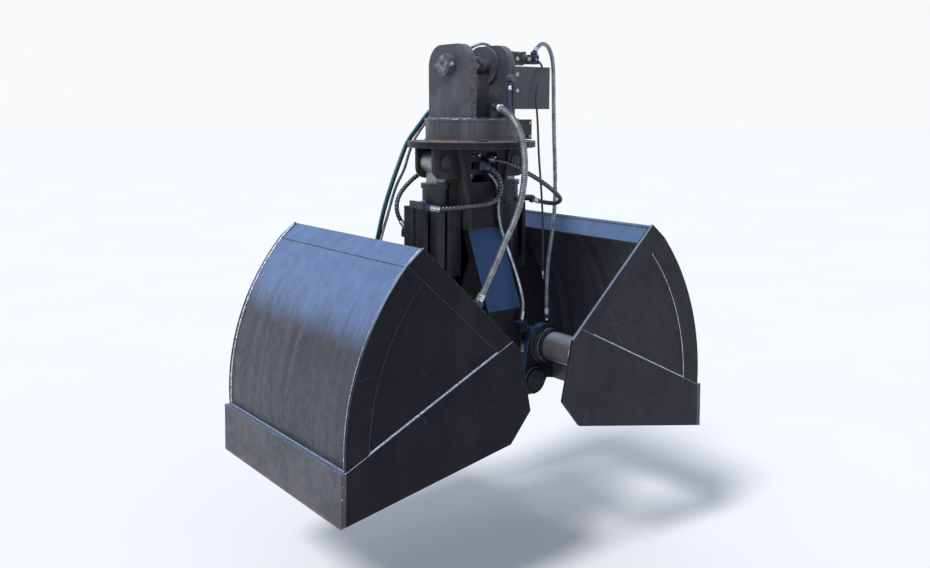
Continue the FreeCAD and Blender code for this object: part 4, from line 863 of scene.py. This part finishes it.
# name: body, diameter, winding pitch, rib, sides, steps a turn, look, slot, neck; sizes in mm
hose_kinds = {
    "hose_guarded": ("head", 27, 6.8, flat_rib(0.17), 24, 7, guarded_look, "hose_guard_steel", 62),
    "hose_right": ("head", 18, 8.5, rounded_rib(0.06), 16, 5, braided_look, "hose_guard_steel", 0),
    "hose_thin": ("head", 9, 20.0, rounded_rib(0.0), 12, 5, thin_look, "hose_rubber", 0),
    "hose_teal": ("head", 20, 20.0, rounded_rib(0.0), 20, 4, teal_look, "hose_guard_steel", 0),
    "hose_silver": ("head", 13, 4.0, rounded_rib(0.06), 12, 3, steel_line_look, "hose_guard_steel", 0),
    "hose_head_loop": ("head", 12, 6.0, rounded_rib(0.07), 14, 4, loop_look, "hose_rubber", 0),
    "hose_head_link": ("head", 13, 10.0, rounded_rib(0.02), 16, 4, link_look, "hose_rubber", 0),
    "hose_left_port": ("frame", 22, 15.0, rounded_rib(0.24), 20, 10, wrapped_look, "hose_rubber", 0),
    "hose_right_port": ("frame", 20, 15.0, rounded_rib(0.24), 20, 10, wrapped_look, "hose_rubber", 0),
    "hose_left_rear": ("frame", 20, 15.0, rounded_rib(0.24), 18, 9, wrapped_look, "hose_rubber", 0),
    "hose_leg": ("frame", 13, 4.0, rounded_rib(0.06), 12, 3, steel_line_look, "hose_guard_steel", 0),
}


def swivel_nut(name, at, way, size, look, body):
    """A hex swivel nut with its collar, standing at a point along a way."""
    return fit_on(hexagon(name, size * 1.5, size * 0.9), at, way, body, look)


def ferrule(name, at, way, size, length, look, body):
    """A pressed ferrule: a sleeve with three crimped grooves."""
    r = size * 0.60
    profile = [(r * 0.90, 0), (r, 1.2)]
    for k in range(3):
        mid = length * (k + 1) / 4
        profile += [(r, mid - 1.8), (r * 0.94, mid - 0.8), (r * 0.94, mid + 0.8), (r, mid + 1.8)]
    profile += [(r, length - 1.5), (r * 0.92, length)]
    return turned(name, profile, 28, at, way, body, look)


def thread_end(name, at, way, size, length, look, body):
    """A threaded spigot with a sealing cone."""
    r = size * 0.42
    profile = [(r * 0.8, 0)]
    turns = max(3, int(length / 2.2))
    for k in range(turns):
        low = length * 0.85 * k / turns
        profile += [(r * 0.9, low + 0.3), (r, low + 1.1)]
    profile += [(r * 0.85, length * 0.88), (r * 0.6, length)]
    return turned(name, profile, 24, at, way, body, look)


# hoses that run to a barrel and are left without a body: its body, and where the bend starts and ends
blended = {
    "hose_left_port": ("left_barrel", (-30, -120, 1050), (-262, -75, 1040)),
    "hose_left_rear": ("left_barrel", (-70, 130, 1180), (-262, 150, 1070)),
    "hose_right_port": ("right_barrel", (80, -160, 1205), (275, -205, 1090)),
}
# hoses that end free, with the length of the ferrule there
free_ends = {"hose_guarded": 30, "hose_right": 26, "hose_thin": 18, "hose_teal": 28, "hose_silver": 20}
hose_lines = {}
for name, corners in routes.items():
    body, diameter, pitch, rib, sides, steps, look, slot, neck = hose_kinds[name]
    piece, points, length = wound_tube(name + "_hose", route_line(name, corners), diameter, pitch, rib, sides,
                                       steps, neck)
    hose_lines[name] = points
    piece.data.materials.append(look)
    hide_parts(name)
    if name in blended:
        other, start, end = blended[name]
        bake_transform(piece)
    else:
        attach(piece, body)
    ends = []
    if name in free_ends:
        way = (points[-1] - points[-4]).normalized()
        crimp = free_ends[name]
        thread = points[-1] + way * diameter * 0.8 * MM
        ends = [
            ferrule(name + "_end_ferrule", points[-1] - way * crimp * MM, way, diameter, crimp, ferrule_look,
                    body),
            swivel_nut(name + "_end_nut", points[-1], way, diameter, blue_fitting_look, body),
            thread_end(name + "_end_spigot", thread, way, diameter, diameter * 0.75, ferrule_look, body)]


def hose_start(name, back=0.0):
    """Where a hose leaves its fitting and which way it goes; back moves that along the hose, mm."""
    points = hose_lines[name]
    way = (points[4] - points[0]).normalized()
    return points[0] + way * back * MM, way


def hose_finish(name):
    """Where a hose ends, and the way back along it."""
    points = hose_lines[name]
    return points[-1], (points[-5] - points[-1]).normalized()


# guarded hose: blued cone and plated ring where it leaves the post
at, way = hose_start("hose_guarded", -4)
turned("guarded_cone", [(9.0, 0), (11.0, 3), (11.0, 14), (12.4, 16), (12.4, 26), (11.4, 28), (13.2, 44),
                        (14.6, 60), (14.6, 66)], 32, at, way, "head", blue_fitting_look)
ferrule("guarded_ring", at + way * 62 * MM, way, 26, 13, ferrule_look, "head")
swivel_nut("guarded_nut", at - way * 2 * MM, way, 19, blue_fitting_look, "head")

# the other hoses: a nut and a crimped ferrule at each end that goes into the object
blued_starts = ("hose_teal", "hose_left_port", "hose_left_rear")
for name, (body, size, *_) in hose_kinds.items():
    if name == "hose_guarded":
        continue
    at, way = hose_start(name)
    start_look = blue_fitting_look if name in blued_starts else ferrule_look
    swivel_nut(name + "_nut", at + way * MM, way, size, blue_fitting_look, body)
    ferrule(name + "_ferrule", at + way * size * 0.9 * MM, way, size, size * 1.1 + 4, start_look, body)
for name, body, length in (("hose_left_port", "left_barrel", 42), ("hose_right_port", "right_barrel", 30),
                           ("hose_left_rear", "left_barrel", 30), ("hose_leg", "frame", 34),
                           ("hose_head_loop", "head", 20), ("hose_head_link", "head", 16)):
    size = hose_kinds[name][1]
    at, way = hose_finish(name)
    swivel_nut(name + "_far_nut", at + way * MM, way, size, blue_fitting_look, body)
    ferrule(name + "_far_ferrule", at + way * size * 0.85 * MM, way, size, length, ferrule_look, body)


# ================================================================ jaws
def jaw_at(side, x, depth, z):
    """A point of the closed jaw, out from and up from its pivot in mm, in the row frame with the jaw open."""
    c, s = math.cos(jaw_swing), math.sin(jaw_swing)
    return Vector((side * (pivot_half + x * c - z * s), depth, pivot_height + x * s + z * c)) * MM


def on_arc(radius, angle):
    """A point round the centre of the side plate's outer edge, mm."""
    return (arc_x + radius * math.cos(angle), arc_z + radius * math.sin(angle))


def onward(start, way, length):
    """A point of the jaw's plane, some way on from another."""
    return (start[0] + way[0] * length, start[1] + way[1] * length)


def unit(a, b):
    x, z = b[0] - a[0], b[1] - a[1]
    length = math.hypot(x, z)
    return (x / length, z / length)


edge_way = (math.cos(edge_angle), math.sin(edge_angle))
bend, low = on_arc(arc_radius, arc_top), on_arc(arc_radius, arc_low)
mouth = (mouth_x, -mouth_depth + lip_thick)
seam = onward(top_corner, edge_way, edge_length - seam_start)
seam_way = unit(seam, low)
inner_arc = arc_radius - band_arc
band_start = on_arc(inner_arc, arc_top)
band_turn = onward(seam, seam_way, band_edge)
band_foot = onward(low, seam_way, -band_low)
lap_way = unit(low, mouth)
lip_out = (-lap_way[1], lap_way[0])
lip_back = onward(low, lip_out, lip_thick)
if lip_back[1] > low[1]:
    lip_out = (lap_way[1], -lap_way[0])
    lip_back = onward(low, lip_out, lip_thick)


def arc_points(radius, start, end, count=40):
    return [on_arc(radius, start + (end - start) * i / count) for i in range(count + 1)]


band_foot_angle = math.atan2(band_foot[1] - arc_z, band_foot[0] - arc_x)
outer_shell = arc_radius - shell_drop
shell_edge = [onward(top_corner, unit(top_corner, bend), 8)] + arc_points(outer_shell + 1.5, arc_top, arc_low)
second_pass = [onward(point, edge_way, -4.0) for point in (band_turn, band_foot)]
lip_corner = [onward(low, seam_way, -6), low, onward(low, lap_way, 9)]
lip_end = [onward(low, lap_way, 8), onward(mouth, lap_way, -10)]
strip_top = onward(top_corner, edge_way, shell_drop + shell_thick)
strip_low = onward(strip_top, edge_way, strip_width)
strip_joint = onward(strip_top, (edge_way[1], -edge_way[0]), -1)
lip_foot = onward(on_arc(outer_shell, arc_low), lip_out, 2.0)
lip_crest = onward(lip_back, unit(lip_back, low), 1.2)
span = inner_face - 3       # half the length of the joints inside the jaw

for word, side in SIDES:
    jaw = word + "_jaw"
    hub = jaw_at(side, tube_x, 0, tube_z) / MM
    band_look = weld_look if side > 0 else dark_weld_look
    for end, depth in ENDS:
        tag = "%s_%s_" % (jaw, end)

        def lay(points, face):
            """Points of the jaw plate, at a distance from the jaw's middle plane."""
            return [jaw_at(side, x, depth * face, z) for x, z in points]

        # name, line, width, look, pitch of the ripples, unevenness
        for mark, line, width, look, pitch, lumps in (
                # shell to side plate, along the flat top and the arc
                ("shell_weld", lay(shell_edge, span), 9.5, weld_look, 5.5, 0.3),
                # the sheet's joint with the lower plate, two passes, and finer ones past the border band
                ("seam_weld", lay([band_turn, band_foot], sheet_face + 1.0), 6.4, weld_look, 5, 0.25),
                ("seam_weld_upper", lay(second_pass, sheet_face + 0.3), 3.4, weld_look, 6, 0.3),
                ("seam_inner", lay([seam, band_turn], band_face), 2.8, weld_look, 5, 0.3),
                ("seam_outer", lay([band_foot, low], band_face), 2.8, weld_look, 5, 0.3),
                # border band: curved and straight inner edges, and its end at the shell
                ("band_arc", lay(arc_points(inner_arc, arc_top, band_foot_angle), sheet_face + 0.8), 4.4,
                 band_look, 5, 0.2),
                ("band_edge", lay([band_start, band_turn], sheet_face + 0.6), 3.6, dark_weld_look, 6, 0.2),
                ("band_end", lay([band_start, bend], band_face - 0.6), 2.2, dark_weld_look, 6, 0.2),
                # lip corner, where three plates meet
                ("lip_corner", lay(lip_corner, half_width - 4.5), 7.5, weld_look, 5, 0.35),
                ("lip_end_weld", lay(lip_end, half_width - 1.6), 3.0, dark_weld_look, 6, 0.25)):
            bead(tag + mark, line, width, jaw, look, pitch, lumps)
        # cross tube: welded to the side plate and to its lug
        for mark, face, width, look, slot in (("tube_weld", span, 8, weld_look, "jaw_paint"),
                                              ("lug_weld", lug_end + 1.5, 7, dark_weld_look, "frame_paint")):
            line = ring_line((hub.x, depth * face, hub.z), tube_radius + 2, "Y")
            bead(tag + mark, line, width, jaw, look, 5.5, 0.3, True)
        # side plate inner face to cross strip
        bead(tag + "strip_weld", lay([strip_top, strip_low], inner_face - 2), 6, jaw, dark_weld_look,
             5.5, 0.3)
        # grease nipple on the cross tube, near the side plate
        seat = Vector((hub.x, depth * nipple_depth, hub.z)) * MM + UP * (tube_radius - 1) * MM
        turned(tag + "nipple", [(6.5, 0), (6.5, 5), (4.2, 6), (3.2, 8), (3.2, 11), (4.0, 12.5), (3.4, 14.5),
                                (1.6, 16)], 18, seat, UP, jaw, bolt_look)

    # the joints that run across the jaw: name, point, half length, width, look, slot, pitch, unevenness
    for mark, point, reach, width, look, slot, pitch, lumps in (
            ("lip_weld", lip_foot, span, 7, weld_look, "jaw_paint", 5.5, 0.25),
            ("lip_crest", onward(lip_crest, lap_way, 1.0), half_width - 4, 2.6, weld_look, "jaw_paint", 9,
             0.3),
            ("bend_seam", on_arc(outer_shell - 0.4, arc_top - 0.004), span, 4.6, seam_look, "shell_paint",
             4.5, 0.5),
            ("strip_seam", onward(strip_joint, edge_way, 4), span, 8, seam_look, "jaw_paint", 6, 0.5)):
        line = [jaw_at(side, point[0], far, point[1]) for far in (-reach, reach)]
        bead("%s_%s" % (jaw, mark), line, width, jaw, look, pitch, lumps)

# ================================================================ frame
for word, side in SIDES:
    for end, depth in ENDS:
        tag = "frame_%s_%s" % (word, end)
        face = depth * (front_face + 2.5)
        corner_low = mm(side * (column_low - 0.5), face, bend_height + 3)
        corner_mid = mm(side * (column_low - 0.5), face, column_foot)
        corner_top = mm(side * (column_top - 2), face, flange_low - 2)
        bead(tag + "_column_weld", [corner_low, corner_mid, corner_top], 6, "frame", dark_weld_look,
             5.5, 0.25)
        for mark, radius, wide in (("washer", 37, 3.0), ("rim", 30.5, 2.2)):
            line = ring_line((side * top_pin_x, depth * (lobe_face + 1.0), top_pin_z), radius - 3, "Y")
            bead(tag + "_top_pin_" + mark, line, wide, "frame",
                 pivot_look if mark == "rim" else dark_weld_look, 6, 0.1, True)
bead("flange_spigot_weld", ring_line((0, 0, flange_low - 2), spigot_radius, "Z", 96), 6, "frame",
     dark_weld_look, 6, 0.25, True)

# hose manifold: hex plugs on the free faces
for k, (x, y, z, way) in enumerate(((-30, -46, 1235, (0, -1, 0)), (4, -46, 1238, (0, -1, 0)),
                                    (-34, -46, 1196, (0, -1, 0)), (-34, 46, 1226, (0, 1, 0)),
                                    (12, 46, 1226, (0, 1, 0)), (12, 46, 1190, (0, 1, 0)))):
    fit_on(hexagon("manifold_plug_%d" % (k + 1), 19, 9), mm(x, y, z), way, "frame",
           bolt_look if k % 2 else blue_fitting_look, roll=k * 0.35)

# ================================================================ cylinders
for word, side in SIDES:
    body = word + "_barrel"
    way = Vector((barrel_way.x * side, 0, barrel_way.z))
    pin = mm(side * top_pin_x, 0, top_pin_z)
    for mark, down, sunk, wide in (("cap_rim", 85, 0.4, 4.2), ("cap_line", 104, 0.2, 2.2),
                                   ("gland_line", 578, 0.2, 2.6)):
        centre = (pin + way * down * MM) / MM
        bead("%s_%s" % (body, mark), ring_line(centre, barrel_radius - sunk, "Z", 72), wide, body, bolt_look,
             7, 0.1, True)
    low_end = pin + way * (top_pin_z - barrel_low) * MM
    turned(body + "_gland", [(47, -2), (47, 6), (44, 8), (44, 13), (36, 15), (30, 15.5), (27.5, 19)], 48,
           low_end, way, body, bolt_look)

# small yellow cap beside the left cylinder's eye
turned("yellow_cap", [(5, 0), (6, 1), (6, 9), (5, 10.5), (3, 11)], 18, mm(-148, -40, 1150), (0, -1, 0),
       "frame", yellow_look)

# ================================================================ head
bead("drum_top_weld", ring_line((0, 0, drum_top - 1.5), drum_radius - 2.6, "Z", 120), 6, "head",
     head_weld_look, 8, 0.45, True)
for word, side in SIDES:
    inner, outer = side * (ear_inner - 1), side * (ear_outer + 1)
    base = drum_top + 1.5
    corners = [(inner, -ear_half - 1), (outer, -ear_half - 1), (outer, ear_half + 1), (inner, ear_half + 1)]
    loop = [mm(x, y, base) for x, y in corners + corners[:1]]
    bead("ear_%s_base_weld" % word, loop, 9, "head", head_weld_look, 7, 0.4)

# keeper bolt through the hanger pin's collar: threaded shank, two heads and their washers
thread = [point for k in range(9) for point in ((6.0, -60 + k * 2.4), (5.3, -58.8 + k * 2.4))]
shank = drawn_out("keeper_shank", [(5.4, -62), (6.0, -61)] + thread + [(6.0, -36), (6.0, 56)], 20)
pieces = [settle(shank, standing(mm(keeper_x, 0, hanger_height), (0, 1, 0)))]
for depth, height in ((-54, 9), (50, 8)):
    head = hexagon("keeper_hex", 19, height)
    pieces.append(settle(head, standing(mm(keeper_x, depth, hanger_height), (0, 1, 0), 0.3)))
for depth in (-46.5, 47):
    washer = drawn_out("keeper_washer", [(11.4, 0), (12, 0.4), (12, 2.2), (11.4, 2.6)], 28)
    pieces.append(settle(washer, standing(mm(keeper_x, depth, hanger_height), (0, 1, 0))))
keeper = smooth(joined("keeper_bolt", pieces), 30)
finish(keeper, "head", bolt_look)
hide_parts("head_keeper_bolt")

# hanger pin: turned end face with a raised rim
turned("hanger_pin_end", [(31, 0), (35, 0.6), (35, 2.0), (32.5, 2.4), (31.5, 1.6), (8, 1.6), (6, 0.8),
                          (2.5, 0.8)], 48, mm(hanger_end, 0, hanger_height), (-1, 0, 0), "head", pin_look,
       angle=25)

# hex studs on the right ear, beside the hose shield
for k, drop in enumerate((38, 102)):
    fit_on(hexagon("ear_stud_%d" % (k + 1), 17, 8), mm(123, -ear_half - 1, hanger_height - drop), (0, -1, 0),
           "head", bolt_look, roll=0.4 + k)

# valve block: caps and side plugs
valve_low, valve_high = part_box("head_valve_block")
valve_mid_y = (valve_low[1] + valve_high[1]) / 2 / MM
valve_mid_z = (valve_low[2] + valve_high[2]) / 2 / MM
for k, (x, size) in enumerate(((150, 22), (182, 26), (214, 22))):
    top, face = mm(x, valve_mid_y, valve_high[2] / MM - 6), mm(x + 8, valve_low[1] / MM + 6, valve_mid_z)
    fit_on(hexagon("valve_cap_%d" % (k + 1), size, 10), top, UP, "head",
           bolt_look if k == 1 else iron_look, 0.2 * k)
    fit_on(hexagon("valve_side_plug_%d" % (k + 1), size - 4, 9), face, (0, -1, 0), "head",
           iron_look if k == 1 else bolt_look, 0.5 * k)

# worm housing: cover bolts, one in each corner
worm_low, worm_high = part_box("head_worm_housing")
inset = worm_bolt_inset * MM
bolt_left, bolt_right = worm_low[0] + inset, worm_high[0] - inset
bolt_foot, bolt_top = worm_low[2] + inset, worm_high[2] - inset
for k, (x, z) in enumerate(((bolt_left, bolt_foot), (bolt_right, bolt_foot), (bolt_right, bolt_top),
                            (bolt_left, bolt_top))):
    fit_on(hexagon("worm_cover_bolt_%d" % (k + 1), 13, 7), (x, worm_low[1] + 0.001, z), (0, -1, 0), "head",
           bolt_look, 0.3 * k)

# ================================================================ looks of the modelled parts
node_looks = {
    "left_jaw_side": left_side_look, "right_jaw_side": right_side_look, "jaw_shell": shell_look,
    "jaw_lip": lip_look, "jaw_cross_strip": strip_look, "jaw_tube": tube_look, "jaw_arm": frame_look,
    "frame_flange": flange_look, "frame_wall": wall_look, "frame_window_plate": frame_look,
    "frame_leg": frame_look, "frame_stop_bar": frame_look, "frame_cross_beam": frame_look,
    "frame_cylinder_pin": pivot_look, "frame_pivot_pin": pivot_look, "frame_manifold": iron_look,
    "head_drum": drum_look, "head_ear": ear_look, "head_hanger_pin": pin_look, "head_keeper": pin_look,
    "head_hose_shield": shield_look, "head_valve_block": iron_look, "head_worm_housing": iron_look,
    "head_slew_motor": iron_look, "barrel": barrel_look, "guard": guard_look, "rod": chrome_look,
}
for name, node in frame["nodes"].items():
    if name.startswith("hose_"):
        continue
    look = next((paint for part, paint in node_looks.items() if part in name), frame_look)
    for slot in node.material_slots:
        slot.material = look

# ================================================================ floor, light and camera
bpy.ops.object.select_all(action="DESELECT")
# the grab hangs from its pin: the floor lies under the closed jaws
floor_level = pivot_height - math.hypot(mouth_depth, mouth_x) - floor_gap
bpy.ops.mesh.primitive_plane_add(size=200, location=(0, 0, floor_level * MM))
floor = bpy.context.active_object
floor.name = "floor"
floor_look, floor_tree, place = new_look("pale_floor")
floor_shader = floor_tree.nodes["Principled BSDF"]
floor_tone = rise(floor_tree, cloud(floor_tree, place, 0.6, 3.0), 0.3, 0.7)
floor_colour = blend(floor_tree, floor_tone, (0.925, 0.93, 0.935, 1), (0.94, 0.945, 0.95, 1))
floor_tree.links.new(floor_colour, floor_shader.inputs["Base Color"])
floor_shader.inputs["Roughness"].default_value = 0.9
floor_shader.inputs["Specular IOR Level"].default_value = 0.1
floor.data.materials.append(floor_look)

world = bpy.data.worlds.new("soft_sky")
bpy.context.scene.world = world
world.use_nodes = True
sky = world.node_tree
ground = sky.nodes["Background"]
up = put(sky, "ShaderNodeSeparateXYZ", {0: put(sky, "ShaderNodeTexCoord").outputs["Generated"]}).outputs["Z"]
sky_colour = blend(sky, rise(sky, up, 0.05, 0.85), (0.95, 0.955, 0.96, 1), (0.24, 0.42, 0.82, 1))
seen = put(sky, "ShaderNodeLightPath")
direct = calc(sky, "MAXIMUM", seen.outputs["Is Camera Ray"], seen.outputs["Is Glossy Ray"])
direct = calc(sky, "MAXIMUM", direct, seen.outputs["Is Transmission Ray"])
sky.links.new(blend(sky, direct, (0.82, 0.91, 1.07, 1), sky_colour), ground.inputs["Color"])
sky.links.new(rise(sky, direct, 0.0, 1.0, 0.55, 1.0), ground.inputs["Strength"])

sun_way = (-0.78, -0.30, 0.95)
key = bpy.data.lights.new("key", "SUN")
key.energy = 2.3
key.angle = math.radians(14)
key.color = (1.0, 0.98, 0.95)
key_lamp = bpy.data.objects.new("key", key)
key_lamp.rotation_euler = Vector(sun_way).to_track_quat("Z", "Y").to_euler()
bpy.context.collection.objects.link(key_lamp)

lens = bpy.data.cameras.new("camera")
lens.lens = 36.77
lens.sensor_width = 36
camera = bpy.data.objects.new("camera", lens)
camera.location = (-2.414, -3.212, 1.419)
camera.rotation_euler = (math.radians(79.67), 0, math.radians(-36.54))
bpy.context.collection.objects.link(camera)
bpy.context.scene.camera = camera
bpy.context.scene.view_settings.view_transform = "Standard"
